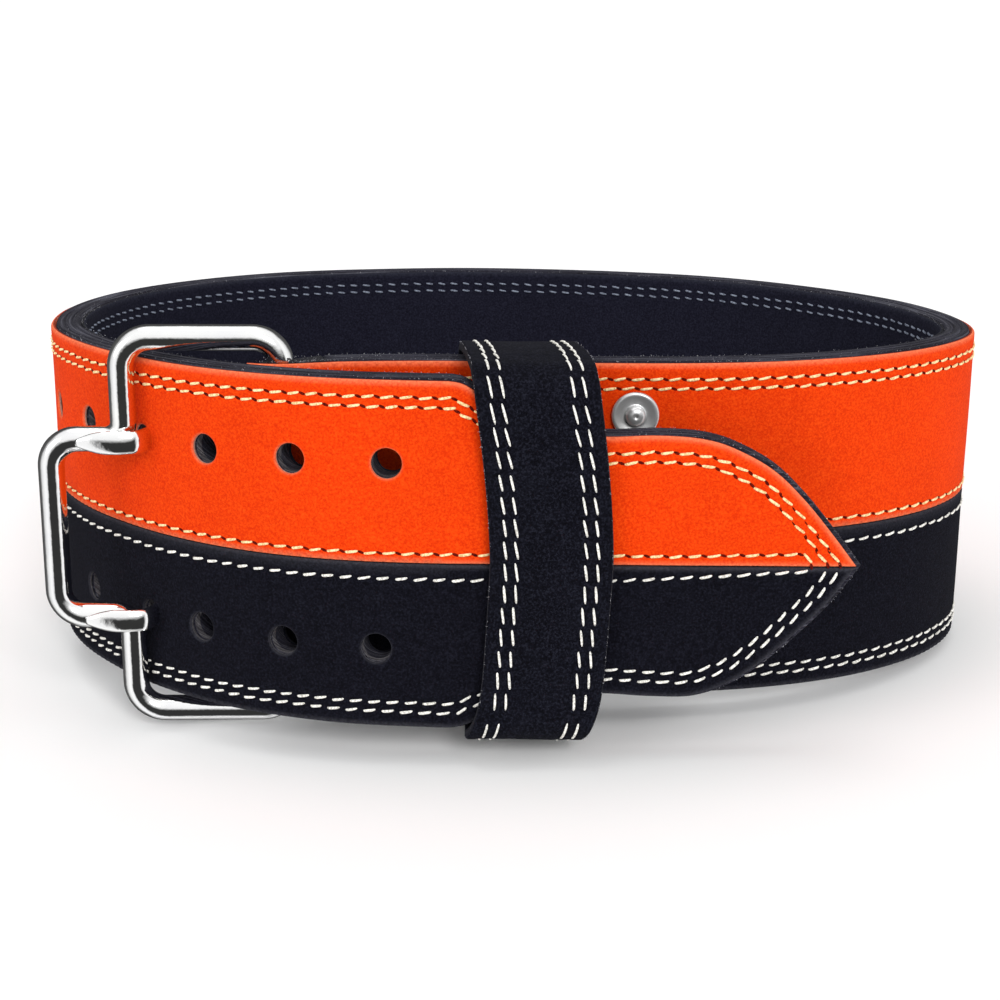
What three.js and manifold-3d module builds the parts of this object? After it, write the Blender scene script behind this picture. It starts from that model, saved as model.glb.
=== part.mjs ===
// Weightlifting belt, fastened round and standing on its edge. Millimetres, Z up, front towards -Y.
import * as THREE from "three";
import Module from "manifold-3d";
import { mergeVertices } from "three/addons/utils/BufferGeometryUtils.js";

// Sizes of the strap
const STRAP_WIDTH = 100;
const LOOP_WIDTH = 298;
const LOOP_DEPTH = 236;
const FACING = 1.4;
const CORE = 7.6;
const LINING = 1.4;
const GAP = 0.3;
const EDGE = 0.6;
const COLOUR_SPLIT = 0.484;

// Sizes of the tongue and its holes
const TONGUE_POINT = 113;
const HOLE_DIAMETER = 8.5;
const HOLE_PITCH = 27.4;
const HOLE_COLUMNS = 8;
const HOLE_ROW = 26.5;
// The lower row of holes stands this much nearer the buckle than the upper row.
const HOLE_SKEW = 3.4;
const PRONG_COLUMN = 3;

// Sizes of the buckle
const WIRE = 7.5;
const FRAME_HALF_WIDE = STRAP_WIDTH / 2 + 5.7;
const FRAME_REACH_TO_STEP = LOOP_WIDTH * 0.1523;
const FRAME_REACH = FRAME_REACH_TO_STEP + 21.1;
const FRAME_YAW = -2.2;
const BAR_FROM_END = 10;
const FOLD_WALL = 2.2;
const PRONG_WIDE = 7.2;
const PRONG_THICK = 3.2;

// Sizes of the keeper and the rivets
const KEEPER_WIDTH = 34.5;
const KEEPER_WALL = 2.8;
const KEEPER_GAP = 0.8;
const KEEPER_LEFT = -0.0415;
const KEEPER_BOW = 5;
const KEEPER_TWIST = 4.7;
const RIVET_ACROSS = 0.128;
const RIVET_FROM_EDGE = 15.3;
const RIVET_DIAMETER = 13.6;
const SHANK = 5;

const THICK = FACING + GAP + CORE + GAP + LINING;
const MIDDLE = STRAP_WIDTH / 2;
const SPLIT = STRAP_WIDTH * COLOUR_SPLIT;
const STEP = 9.5;
const END_STEP = 2;
const CORE_START = 24;

// Outer face of the strap seen from above, from the buckle end round to the tip of the tongue.
// Each row is a share of the loop's width and a share of its depth.
const COURSE = [
  { across: -0.2395, deep: 0.1045 },
  { across: -0.222, deep: 0.099 },
  { across: -0.2, deep: 0.0995 },
  { across: -0.151, deep: 0.117 },
  { across: -0.067, deep: 0.127 },
  { across: 0.1, deep: 0.1195 },
  { across: 0.235, deep: 0.1315 },
  { across: 0.356, deep: 0.182 },
  { across: 0.446, deep: 0.263 },
  { across: 0.499, deep: 0.364 },
  { across: 0.51, deep: 0.475 },
  { across: 0.4765, deep: 0.64 },
  { across: 0.396, deep: 0.786 },
  { across: 0.282, deep: 0.905 },
  { across: 0.151, deep: 0.969 },
  { across: -0.03, deep: 1 },
  { across: -0.151, deep: 0.981 },
  { across: -0.282, deep: 0.928 },
  { across: -0.386, deep: 0.826 },
  { across: -0.46, deep: 0.686 },
  { across: -0.49, deep: 0.517 },
  { across: -0.47, deep: 0.347 },
  { across: -0.396, deep: 0.199 },
  { across: -0.285, deep: 0.0785 },
  { across: -0.1745, deep: 0.0205 },
  { across: -0.067, deep: 0.0015 },
  { across: 0.034, deep: 0 },
  { across: 0.168, deep: 0 },
  { across: 0.3325, deep: 0 },
];

// Outline of the tongue's end: how far along the shaped part, and the shares of half the strap's width.
const TONGUE_OUTLINE = [
  { along: 0, upper: 1.03, lower: 1.03 },
  { along: 0.03, upper: 0.99, lower: 0.99 },
  { along: 0.07, upper: 0.94, lower: 0.95 },
  { along: 0.14, upper: 0.865, lower: 0.89 },
  { along: 0.24, upper: 0.765, lower: 0.825 },
  { along: 0.36, upper: 0.71, lower: 0.78 },
  { along: 0.5, upper: 0.715, lower: 0.795 },
  { along: 0.59, upper: 0.705, lower: 0.795 },
  { along: 0.65, upper: 0.68, lower: 0.76 },
  { along: 0.72, upper: 0.617, lower: 0.68 },
  { along: 0.79, upper: 0.525, lower: 0.555 },
  { along: 0.865, upper: 0.368, lower: 0.39 },
  { along: 0.935, upper: 0.185, lower: 0.215 },
  { along: 1, upper: 0, lower: 0 },
];

const wasm = await Module();
wasm.setup();

// A closed geometry as a solid, turned inside out if its faces point inwards.
function solid(geometry) {
  const bare = geometry.clone();
  bare.deleteAttribute("normal");
  bare.deleteAttribute("uv");
  const merged = mergeVertices(bare, 1e-4);
  const triVerts = new Uint32Array(merged.index.array);
  const make = () =>
    new wasm.Manifold(
      new wasm.Mesh({ numProp: 3, vertProperties: merged.attributes.position.array, triVerts }),
    );
  const made = make();
  if (made.volume() > 0) return made;
  for (let i = 0; i < triVerts.length; i += 3)
    [triVerts[i + 1], triVerts[i + 2]] = [triVerts[i + 2], triVerts[i + 1]];
  return make();
}

function geometryOf(body) {
  const mesh = body.getMesh();
  const geometry = new THREE.BufferGeometry();
  geometry.setAttribute("position", new THREE.BufferAttribute(new Float32Array(mesh.vertProperties), 3));
  geometry.setIndex(Array.from(mesh.triVerts));
  geometry.computeVertexNormals();
  return geometry;
}

// Joins rings of points into one closed body. A closed loft runs from its last ring into its first.
function loft(rings, closed) {
  const size = rings[0].length;
  const position = [];
  const index = [];
  for (const ring of rings) for (const p of ring) position.push(p.x, p.y, p.z);
  const spans = closed ? rings.length : rings.length - 1;
  for (let i = 0; i < spans; i++) {
    const here = i * size;
    const next = ((i + 1) % rings.length) * size;
    for (let j = 0; j < size; j++) {
      const k = (j + 1) % size;
      index.push(here + j, here + k, next + k, here + j, next + k, next + j);
    }
  }
  if (!closed) {
    const last = (rings.length - 1) * size;
    for (let j = 1; j < size - 1; j++) index.push(0, j + 1, j, last, last + j, last + j + 1);
  }
  const geometry = new THREE.BufferGeometry();
  geometry.setAttribute("position", new THREE.Float32BufferAttribute(position, 3));
  geometry.setIndex(index);
  return geometry;
}

// The course of the outer face as evenly spaced stations with their directions.
const curve = new THREE.CatmullRomCurve3(
  COURSE.map((row) => new THREE.Vector3(row.across * LOOP_WIDTH, row.deep * LOOP_DEPTH, 0)),
  false,
  "centripetal",
);
curve.arcLengthDivisions = 4000;
const LENGTH = curve.getLength();
const STATIONS = 1600;
const stations = curve.getSpacedPoints(STATIONS);

function courseAt(s) {
  const f = (THREE.MathUtils.clamp(s, 0, LENGTH) / LENGTH) * STATIONS;
  const i = Math.min(STATIONS - 1, Math.floor(f));
  const point = stations[i].clone().lerp(stations[i + 1], f - i);
  const before = stations[Math.max(0, i - 5)];
  const after = stations[Math.min(STATIONS, i + 6)];
  const along = after.clone().sub(before).normalize();
  return { point, along, inward: new THREE.Vector3(-along.y, along.x, 0) };
}

// A point of the strap: distance along the course, depth below the outer face, height.
function strapPoint(s, depth, z) {
  const at = courseAt(s);
  return at.point.clone().addScaledVector(at.inward, depth).setZ(z);
}

// Distance along the course where it first passes a given x on its way to the right.
function stationAtX(x, from) {
  for (let s = from; s < LENGTH; s += 0.25) if (courseAt(s).point.x >= x) return s;
  return LENGTH;
}

// Stations shared by all layers, so that their facets run side by side.
const grid = [];
for (let s = 0; s < CORE_START; s += END_STEP) grid.push(s);
const even = Math.ceil((LENGTH - CORE_START) / STEP);
for (let i = 0; i <= even; i++) grid.push(CORE_START + ((LENGTH - CORE_START) * i) / even);

function band(from, near, far, low, high) {
  const rings = [];
  for (const s of grid) {
    if (s < from) continue;
    rings.push([
      strapPoint(s, near, low),
      strapPoint(s, near, high),
      strapPoint(s, far, high),
      strapPoint(s, far, low),
    ]);
  }
  return solid(loft(rings, false));
}

// A round cutter through the strap at one station.
function strapDrill(s, z, radius) {
  const at = courseAt(s);
  const drill = new THREE.CylinderGeometry(radius, radius, THICK + 6, 12);
  const turn = new THREE.Quaternion().setFromUnitVectors(new THREE.Vector3(0, 1, 0), at.inward);
  drill.applyQuaternion(turn);
  const centre = strapPoint(s, THICK / 2, z);
  drill.translate(centre.x, centre.y, centre.z);
  return solid(drill);
}

// A plan outline raised between two heights.
function raised(points, low, high) {
  const shape = new THREE.Shape(points.map((p) => new THREE.Vector2(p.x, p.y)));
  const geometry = new THREE.ExtrudeGeometry(shape, { depth: high - low, bevelEnabled: false });
  geometry.translate(0, 0, low);
  return solid(geometry);
}

function box(x0, x1, y0, y1, z0, z1) {
  const geometry = new THREE.BoxGeometry(x1 - x0, y1 - y0, z1 - z0);
  geometry.translate((x0 + x1) / 2, (y0 + y1) / 2, (z0 + z1) / 2);
  return solid(geometry);
}

// A flat loop of points with its corners rounded.
function roundedLoop(corners, steps) {
  const points = [];
  for (let i = 0; i < corners.length; i++) {
    const c = corners[i];
    const a = corners[(i + corners.length - 1) % corners.length];
    const b = corners[(i + 1) % corners.length];
    const here = new THREE.Vector2(c.u, c.v);
    const back = new THREE.Vector2(a.u, a.v).sub(here).normalize();
    const on = new THREE.Vector2(b.u, b.v).sub(here).normalize();
    const half = Math.acos(THREE.MathUtils.clamp(back.dot(on), -1, 1)) / 2;
    const reach = c.radius / Math.tan(half);
    const centre = here.clone().add(back.clone().add(on).normalize().multiplyScalar(c.radius / Math.sin(half)));
    const start = here.clone().addScaledVector(back, reach).sub(centre);
    const end = here.clone().addScaledVector(on, reach).sub(centre);
    const from = start.angle();
    let sweep = end.angle() - from;
    if (sweep > Math.PI) sweep -= 2 * Math.PI;
    if (sweep < -Math.PI) sweep += 2 * Math.PI;
    for (let j = 0; j <= steps; j++) {
      const angle = from + (sweep * j) / steps;
      points.push(centre.clone().add(new THREE.Vector2(Math.cos(angle), Math.sin(angle)).multiplyScalar(c.radius)));
    }
  }
  return points;
}

// The buckle's place: its bar stands in the fold at the strap's end
const barDepth = FACING + GAP + FOLD_WALL + GAP + WIRE / 2;
const bar = strapPoint(BAR_FROM_END, barDepth, MIDDLE);
const yaw = THREE.MathUtils.degToRad(FRAME_YAW);
function framePoint(u, v, out) {
  return new THREE.Vector3(
    bar.x - u * Math.cos(yaw) - out * Math.sin(yaw),
    bar.y + u * Math.sin(yaw) - out * Math.cos(yaw),
    MIDDLE + v,
  );
}

// Where the prongs come out of the tongue, just right of the frame's step
const stepWire = framePoint(FRAME_REACH_TO_STEP, 0, 0);
const hug = WIRE / 2 + PRONG_THICK / 2 + GAP + 0.13;
const prongStation = stationAtX(stepWire.x + hug - 0.3, LENGTH * 0.7);

// The strap's layers
const holes = [];
for (let column = 0; column < HOLE_COLUMNS; column++) {
  const s = prongStation - 3.8 + (PRONG_COLUMN - column) * HOLE_PITCH;
  // The column in use stands where the prongs come through.
  const used = column === PRONG_COLUMN;
  const radius = HOLE_DIAMETER / 2 + (used ? 0.3 : 0);
  for (const side of [-1, 1]) {
    const shift = used ? 2.8 : side < 0 ? -HOLE_SKEW : 0;
    holes.push(strapDrill(s + shift, MIDDLE + side * HOLE_ROW, radius));
  }
}

const rivetStation = stationAtX(RIVET_ACROSS * LOOP_WIDTH, 30);
const rivetHeights = [STRAP_WIDTH - RIVET_FROM_EDGE, RIVET_FROM_EDGE];
const shankDrills = rivetHeights.map((z) => strapDrill(rivetStation, z, SHANK / 2 + GAP + 0.1));

const tipX = courseAt(LENGTH).point.x;
const waste = [];
const pointStart = tipX - TONGUE_POINT;
const tipZ = SPLIT + 0.4;
const outline = TONGUE_OUTLINE.map((row) => ({
  x: pointStart + row.along * TONGUE_POINT,
  top: tipZ + row.upper * (STRAP_WIDTH - tipZ),
  bottom: tipZ - row.lower * tipZ,
}));
for (const row of outline) waste.push(new THREE.Vector2(row.x, row.top));
for (const row of outline.slice(0, -1).reverse()) waste.push(new THREE.Vector2(row.x, row.bottom));
waste.push(new THREE.Vector2(pointStart, -10));
waste.push(new THREE.Vector2(tipX + 10, -10));
waste.push(new THREE.Vector2(tipX + 10, STRAP_WIDTH + 10));
waste.push(new THREE.Vector2(pointStart, STRAP_WIDTH + 10));
const wasteGeometry = new THREE.ExtrudeGeometry(new THREE.Shape(waste), { depth: THICK + 4, bevelEnabled: false });
wasteGeometry.rotateX(Math.PI / 2);
wasteGeometry.translate(0, THICK + 2, 0);
const tongueWaste = solid(wasteGeometry);

function cutLayer(body) {
  let cut = body.subtract(tongueWaste);
  for (const hole of holes) cut = cut.subtract(hole);
  for (const drill of shankDrills) cut = cut.subtract(drill);
  return cut;
}

const coreNear = FACING + GAP;
const liningNear = coreNear + CORE + GAP;
const orangeFacing = cutLayer(band(0, 0, FACING, SPLIT + GAP, STRAP_WIDTH - EDGE));
const blackFacing = cutLayer(band(0, 0, FACING, EDGE, SPLIT));
const strapCore = cutLayer(band(CORE_START, coreNear, coreNear + CORE, 0, STRAP_WIDTH));
const innerLining = cutLayer(band(CORE_START, liningNear, THICK, EDGE, STRAP_WIDTH - EDGE));

const frameLoop = roundedLoop(
  [
    { u: 0, v: -FRAME_HALF_WIDE, radius: 8 },
    { u: 0, v: FRAME_HALF_WIDE, radius: 8 },
    { u: FRAME_REACH_TO_STEP, v: FRAME_HALF_WIDE, radius: 8.5 },
    { u: FRAME_REACH_TO_STEP, v: HOLE_ROW, radius: 5 },
    { u: FRAME_REACH, v: HOLE_ROW, radius: 8 },
    { u: FRAME_REACH, v: -HOLE_ROW, radius: 8 },
    { u: FRAME_REACH_TO_STEP, v: -HOLE_ROW, radius: 5 },
    { u: FRAME_REACH_TO_STEP, v: -FRAME_HALF_WIDE, radius: 8.5 },
  ],
  6,
);
const frameRings = frameLoop.map((p, i) => {
  const after = frameLoop[(i + 1) % frameLoop.length];
  const before = frameLoop[(i + frameLoop.length - 1) % frameLoop.length];
  const along = after.clone().sub(before).normalize();
  const ring = [];
  for (let j = 0; j < 12; j++) {
    const angle = (2 * Math.PI * j) / 12;
    const side = (Math.cos(angle) * WIRE) / 2;
    const out = (Math.sin(angle) * WIRE) / 2;
    ring.push(framePoint(p.x - along.y * side, p.y + along.x * side, out));
  }
  return ring;
});
const buckleFrame = solid(loft(frameRings, true));

// Leather folded round the bar, open where the prongs' eyes sit
const foldLow = 1.5;
const foldOutline = [];
for (let s = END_STEP; s < CORE_START - GAP; s += END_STEP) foldOutline.push(strapPoint(s, FACING + GAP, 0));
foldOutline.push(strapPoint(CORE_START - GAP, FACING + GAP, 0));
foldOutline.push(strapPoint(CORE_START - GAP, THICK, 0));
for (let i = 0; i <= 6; i++) {
  const angle = Math.PI * (0.42 + (0.6 * i) / 6);
  const radius = WIRE / 2 + GAP + FOLD_WALL;
  foldOutline.push(new THREE.Vector3(bar.x + Math.cos(angle) * radius, bar.y + Math.sin(angle) * radius, 0));
}
const barBore = new THREE.CylinderGeometry(WIRE / 2 + GAP + 0.1, WIRE / 2 + GAP + 0.1, STRAP_WIDTH + 20, 24);
barBore.rotateX(Math.PI / 2);
barBore.translate(bar.x, bar.y, MIDDLE);
let buckleFold = raised(foldOutline, foldLow, STRAP_WIDTH - foldLow).subtract(solid(barBore));
const eyeHalf = PRONG_WIDE / 2 + GAP + 0.2;
for (const side of [-1, 1]) {
  const z = MIDDLE + side * HOLE_ROW;
  const reach = WIRE / 2 + GAP + FOLD_WALL + 0.6;
  buckleFold = buckleFold.subtract(box(bar.x - 20, bar.x + reach, bar.y - 12, bar.y + 16, z - eyeHalf, z + eyeHalf));
}

// Prongs: an eye on the bar, a run behind the tongue, out through the hole and onto the frame
const behind = THICK + PRONG_THICK / 2 + 0.9;
const prongRun = new THREE.CatmullRomCurve3(
  [
    new THREE.Vector3(bar.x - WIRE / 2 - 1.6, bar.y + 0.5, 0),
    strapPoint(prongStation + 20, behind + 0.8, 0),
    strapPoint(prongStation + 11, behind + 1.6, 0),
    strapPoint(prongStation + 4.4, THICK + 4.2, 0),
    strapPoint(prongStation + 0.9, THICK + 1.2, 0),
    strapPoint(prongStation + 0.1, THICK * 0.6, 0),
    strapPoint(prongStation + 0.2, 1.6, 0),
    new THREE.Vector3(stepWire.x + hug, stepWire.y - 0.2, 0),
    new THREE.Vector3(stepWire.x + hug * 0.72, stepWire.y - hug * 0.72, 0),
    new THREE.Vector3(stepWire.x, stepWire.y - hug, 0),
    new THREE.Vector3(stepWire.x - 6, stepWire.y - hug - 0.1, 0),
    new THREE.Vector3(stepWire.x - 12.5, stepWire.y - hug, 0),
  ],
  false,
  "centripetal",
);
function prong(z) {
  const steps = 34;
  const rings = [];
  for (let i = 0; i <= steps; i++) {
    const t = i / steps;
    const p = prongRun.getPointAt(t);
    const along = prongRun.getTangentAt(t);
    const left = new THREE.Vector3(-along.y, along.x, 0);
    const taper = t < 0.9 ? 1 : 1 - 0.62 * Math.pow((t - 0.9) / 0.1, 1.6);
    const ring = [];
    for (let j = 0; j < 10; j++) {
      const angle = (2 * Math.PI * j) / 10;
      const side = (Math.cos(angle) * PRONG_THICK * taper) / 2;
      const rise = (Math.sin(angle) * PRONG_WIDE * taper) / 2;
      ring.push(p.clone().addScaledVector(left, side).setZ(z + rise));
    }
    rings.push(ring);
  }
  const eye = new THREE.CylinderGeometry(WIRE / 2 + FOLD_WALL, WIRE / 2 + FOLD_WALL, PRONG_WIDE, 24);
  const bore = new THREE.CylinderGeometry(WIRE / 2 + GAP, WIRE / 2 + GAP, PRONG_WIDE + 4, 24);
  for (const part of [eye, bore]) {
    part.rotateX(Math.PI / 2);
    part.translate(bar.x, bar.y, z);
  }
  return solid(loft(rings, false)).add(solid(eye)).subtract(solid(bore));
}

// Keeper: a leather loop round both layers of strap, its front bowed to one side
const keeperStation = stationAtX(KEEPER_LEFT * LOOP_WIDTH + KEEPER_WIDTH / 2, 30);
const keeperBack = strapPoint(keeperStation, THICK, 0).y + 1.2 + KEEPER_GAP;
const keeperLoop = roundedLoop(
  [
    { u: -KEEPER_GAP, v: -KEEPER_GAP, radius: 2.2 },
    { u: keeperBack, v: -KEEPER_GAP, radius: 2.2 },
    { u: keeperBack, v: STRAP_WIDTH + KEEPER_GAP, radius: 2.2 },
    { u: -KEEPER_GAP, v: STRAP_WIDTH + KEEPER_GAP, radius: 2.2 },
  ],
  4,
);
// Extra points down the front, so that it can bow
const keeperPath = [];
keeperLoop.forEach((p, i) => {
  keeperPath.push(p);
  const after = keeperLoop[(i + 1) % keeperLoop.length];
  const parts = Math.floor(p.distanceTo(after) / 11);
  for (let j = 1; j < parts; j++) keeperPath.push(p.clone().lerp(after, j / parts));
});
const keeperRings = keeperPath.map((p, i) => {
  const after = keeperPath[(i + 1) % keeperPath.length];
  const before = keeperPath[(i + keeperPath.length - 1) % keeperPath.length];
  const along = after.clone().sub(before).normalize();
  const out = new THREE.Vector2(along.y, -along.x);
  const frontness = THREE.MathUtils.clamp(1 - p.x / keeperBack, 0, 1);
  const rise = (p.y - MIDDLE) / MIDDLE;
  const bow = KEEPER_BOW * (1 - Math.min(1, rise * rise)) * Math.pow(frontness, 3);
  const left = KEEPER_LEFT * LOOP_WIDTH + KEEPER_TWIST * frontness + bow;
  const far = p.clone().addScaledVector(out, KEEPER_WALL);
  return [
    new THREE.Vector3(left, p.x, p.y),
    new THREE.Vector3(left + KEEPER_WIDTH, p.x, p.y),
    new THREE.Vector3(left + KEEPER_WIDTH, far.x, far.y),
    new THREE.Vector3(left, far.x, far.y),
  ];
});
const keeper = solid(loft(keeperRings, true));

// Rivets: dished head outside, shank through the strap, flat head inside
function rivet(z) {
  const head = RIVET_DIAMETER / 2;
  const shank = SHANK / 2;
  const profile = [
    [0, -THICK - GAP - 1.2],
    [head - 1.2, -THICK - GAP - 1.2],
    [head - 0.8, -THICK - GAP - 0.7],
    [head - 0.8, -THICK - GAP],
    [shank, -THICK - GAP],
    [shank, GAP],
    [head - 0.3, GAP],
    [head, GAP + 0.5],
    [head - 0.5, GAP + 1.2],
    [head - 2.6, GAP + 0.7],
    [shank + 0.6, GAP + 0.8],
    [shank + 0.25, GAP + 2.1],
    [shank - 0.7, GAP + 2.8],
    [0, GAP + 3.1],
  ].map(([r, h]) => new THREE.Vector2(r, h));
  const geometry = new THREE.LatheGeometry(profile, 24);
  const at = courseAt(rivetStation);
  const outward = at.inward.clone().negate();
  geometry.applyQuaternion(new THREE.Quaternion().setFromUnitVectors(new THREE.Vector3(0, 1, 0), outward));
  const centre = strapPoint(rivetStation, 0, z);
  geometry.translate(centre.x, centre.y, centre.z);
  return solid(geometry);
}

const LEATHER = 900;
const STEEL = 7850;
const pieces = [
  ["strap_core", strapCore, LEATHER, { color: 0x3a3a3f, roughness: 0.85, metalness: 0 }],
  ["orange_facing", orangeFacing, LEATHER, { color: 0xf25012, roughness: 0.95, metalness: 0 }],
  ["black_facing", blackFacing, LEATHER, { color: 0x17171d, roughness: 0.95, metalness: 0 }],
  ["inner_lining", innerLining, LEATHER, { color: 0x1b1d26, roughness: 0.95, metalness: 0 }],
  ["buckle_fold", buckleFold, LEATHER, { color: 0x222228, roughness: 0.9, metalness: 0 }],
  ["buckle_frame", buckleFrame, STEEL, { color: 0xc9cacc, roughness: 0.15, metalness: 1 }],
  ["prong_upper", prong(MIDDLE + HOLE_ROW), STEEL, { color: 0xc4c5c8, roughness: 0.18, metalness: 1 }],
  ["prong_lower", prong(MIDDLE - HOLE_ROW), STEEL, { color: 0xc4c5c8, roughness: 0.18, metalness: 1 }],
  ["keeper_loop", keeper, LEATHER, { color: 0x15151b, roughness: 0.95, metalness: 0 }],
  ["rivet_upper", rivet(rivetHeights[0]), STEEL, { color: 0x9a9a98, roughness: 0.35, metalness: 1 }],
  ["rivet_lower", rivet(rivetHeights[1]), STEEL, { color: 0x9a9a98, roughness: 0.35, metalness: 1 }],
];

// The belt stands on the bottom of its buckle and the far edge of the strap: the lean that lets it rest
const belt = new THREE.Group();
const corners = [];
const heaviest = new THREE.Vector3();
let weight = 0;
for (const [name, body, density, finish] of pieces) {
  const mesh = new THREE.Mesh(geometryOf(body), new THREE.MeshStandardMaterial(finish));
  mesh.name = name;
  belt.add(mesh);
  const place = mesh.geometry.attributes.position;
  for (let i = 0; i < place.count; i++) corners.push(new THREE.Vector3().fromBufferAttribute(place, i));
  const share = body.volume() * density;
  const low = new THREE.Box3().setFromBufferAttribute(place).getCenter(new THREE.Vector3());
  heaviest.addScaledVector(low, share);
  weight += share;
}
heaviest.divideScalar(weight);

function lean(rightways, backwards) {
  return new THREE.Quaternion().setFromEuler(new THREE.Euler(backwards, rightways, 0));
}
function standingHeight(rightways, backwards) {
  const up = new THREE.Vector3(0, 0, 1).applyQuaternion(lean(rightways, backwards).invert());
  let lowest = Infinity;
  for (const p of corners) lowest = Math.min(lowest, p.dot(up));
  return heaviest.dot(up) - lowest;
}
let rightways = 0;
let backwards = 0;
for (let step = 0.02; step > 1e-5; ) {
  const here = standingHeight(rightways, backwards);
  const tries = [
    [step, 0],
    [-step, 0],
    [0, step],
    [0, -step],
    [step, step],
    [-step, -step],
    [step, -step],
    [-step, step],
  ];
  const better = tries.find(([a, b]) => standingHeight(rightways + a, backwards + b) < here - 1e-9);
  if (better) {
    rightways += better[0];
    backwards += better[1];
  } else step /= 2;
}
belt.quaternion.copy(lean(rightways, backwards));
belt.updateMatrixWorld(true);
const extent = new THREE.Box3().setFromObject(belt, true);
belt.position.set(-(extent.min.x + extent.max.x) / 2, -(extent.min.y + extent.max.y) / 2, -extent.min.z);

const part = new THREE.Group();
part.name = "weightlifting_belt";
part.add(belt);
export default part;
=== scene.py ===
"""Looks of a fastened weightlifting belt: suede, cut edges, stitching, keeper and steel buckle."""

import math

import bpy
import numpy as np
from mathutils import Matrix, Vector
from mathutils.geometry import delaunay_2d_cdt

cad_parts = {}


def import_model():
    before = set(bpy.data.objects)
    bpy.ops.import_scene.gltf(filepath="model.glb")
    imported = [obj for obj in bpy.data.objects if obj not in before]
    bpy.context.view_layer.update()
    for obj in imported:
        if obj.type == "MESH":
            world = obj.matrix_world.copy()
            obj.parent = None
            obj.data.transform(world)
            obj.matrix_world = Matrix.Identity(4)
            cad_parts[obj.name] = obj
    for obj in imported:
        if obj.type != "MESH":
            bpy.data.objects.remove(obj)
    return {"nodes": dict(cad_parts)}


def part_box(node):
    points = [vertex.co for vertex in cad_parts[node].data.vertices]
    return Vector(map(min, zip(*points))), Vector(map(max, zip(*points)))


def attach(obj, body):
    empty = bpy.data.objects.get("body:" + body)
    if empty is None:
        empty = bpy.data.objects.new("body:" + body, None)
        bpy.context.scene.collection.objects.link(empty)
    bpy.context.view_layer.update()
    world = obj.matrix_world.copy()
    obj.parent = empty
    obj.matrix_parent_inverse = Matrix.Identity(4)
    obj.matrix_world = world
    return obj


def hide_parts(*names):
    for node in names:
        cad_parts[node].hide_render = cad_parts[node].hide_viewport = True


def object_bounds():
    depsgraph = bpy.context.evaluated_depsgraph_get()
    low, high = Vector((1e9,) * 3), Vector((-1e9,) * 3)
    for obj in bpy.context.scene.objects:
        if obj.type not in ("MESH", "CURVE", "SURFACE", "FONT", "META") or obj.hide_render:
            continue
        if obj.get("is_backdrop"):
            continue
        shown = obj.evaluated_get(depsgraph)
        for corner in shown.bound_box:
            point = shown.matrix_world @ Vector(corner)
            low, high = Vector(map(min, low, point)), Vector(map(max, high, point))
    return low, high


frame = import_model()
cad_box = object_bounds()
noise = np.random.default_rng(7)

# Driving sizes in millimetres, the same as the solids'
WIDTH = 100.0
LOOP_WIDTH = 298.0
LOOP_DEPTH = 236.0
FACING = 1.4
CORE = 7.6
LINING = 1.4
GAP = 0.3
EDGE = 0.6
SPLIT = 0.484 * WIDTH
THICK = FACING + GAP + CORE + GAP + LINING
MIDDLE = WIDTH / 2
CORE_START = 24.0
TONGUE_POINT = 113.0
HOLE_RADIUS = 4.25
HOLE_PITCH = 27.4
HOLE_COLUMNS = 8
HOLE_ROW = 26.5
HOLE_SKEW = 3.4
PRONG_COLUMN = 3
WIRE = 7.5
FRAME_HALF_WIDE = MIDDLE + 5.7
FRAME_TO_STEP = LOOP_WIDTH * 0.1523
FRAME_REACH = FRAME_TO_STEP + 21.1
FRAME_YAW = math.radians(-2.2)
BAR_FROM_END = 10.0
FOLD_WALL = 2.2
FOLD_LOW = 1.5
PRONG_WIDE = 7.2
PRONG_THICK = 3.2
KEEPER_WIDTH = 33.6
KEEPER_WALL = 2.8
KEEPER_GAP = 0.8
KEEPER_LEFT = -0.0415 * LOOP_WIDTH
KEEPER_BOW = 5.0
KEEPER_TWIST = 4.7
RIVET_X = 0.128 * LOOP_WIDTH
RIVET_FROM_EDGE = 15.3
RIVET_RADIUS = 6.8
SHANK = 5.0

# Stitching: distances from the edge, the gap from one stitch to the next, and the thread
SEAMS = (4.5, 7.2)
SPLIT_SEAM_ABOVE = 3.0
SPLIT_SEAM_BELOW = 4.3
STITCH_PITCH = 5.2
THREAD = 0.8
KEEPER_SEAMS = (4.3, 7.4)

# Outer face seen from above: shares of the loop's width and depth
COURSE = [
    (-0.2395, 0.1045),
    (-0.222, 0.099),
    (-0.2, 0.0995),
    (-0.151, 0.117),
    (-0.067, 0.127),
    (0.1, 0.1195),
    (0.235, 0.1315),
    (0.356, 0.182),
    (0.446, 0.263),
    (0.499, 0.364),
    (0.51, 0.475),
    (0.4765, 0.64),
    (0.396, 0.786),
    (0.282, 0.905),
    (0.151, 0.969),
    (-0.03, 1.0),
    (-0.151, 0.981),
    (-0.282, 0.928),
    (-0.386, 0.826),
    (-0.46, 0.686),
    (-0.49, 0.517),
    (-0.47, 0.347),
    (-0.396, 0.199),
    (-0.285, 0.0785),
    (-0.1745, 0.0205),
    (-0.067, 0.0015),
    (0.034, 0.0),
    (0.168, 0.0),
    (0.3325, 0.0),
]

# Tongue outline: share of the shaped length, shares of half the strap's width above and below the tip
TONGUE = [
    (0.0, 1.0, 1.0),
    (0.03, 0.99, 0.99),
    (0.07, 0.94, 0.95),
    (0.14, 0.865, 0.89),
    (0.24, 0.765, 0.825),
    (0.36, 0.71, 0.78),
    (0.5, 0.715, 0.795),
    (0.59, 0.705, 0.795),
    (0.65, 0.68, 0.76),
    (0.72, 0.617, 0.68),
    (0.79, 0.525, 0.555),
    (0.865, 0.368, 0.39),
    (0.935, 0.185, 0.215),
    (1.0, 0.0, 0.0),
]


# The belt's own space


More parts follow.
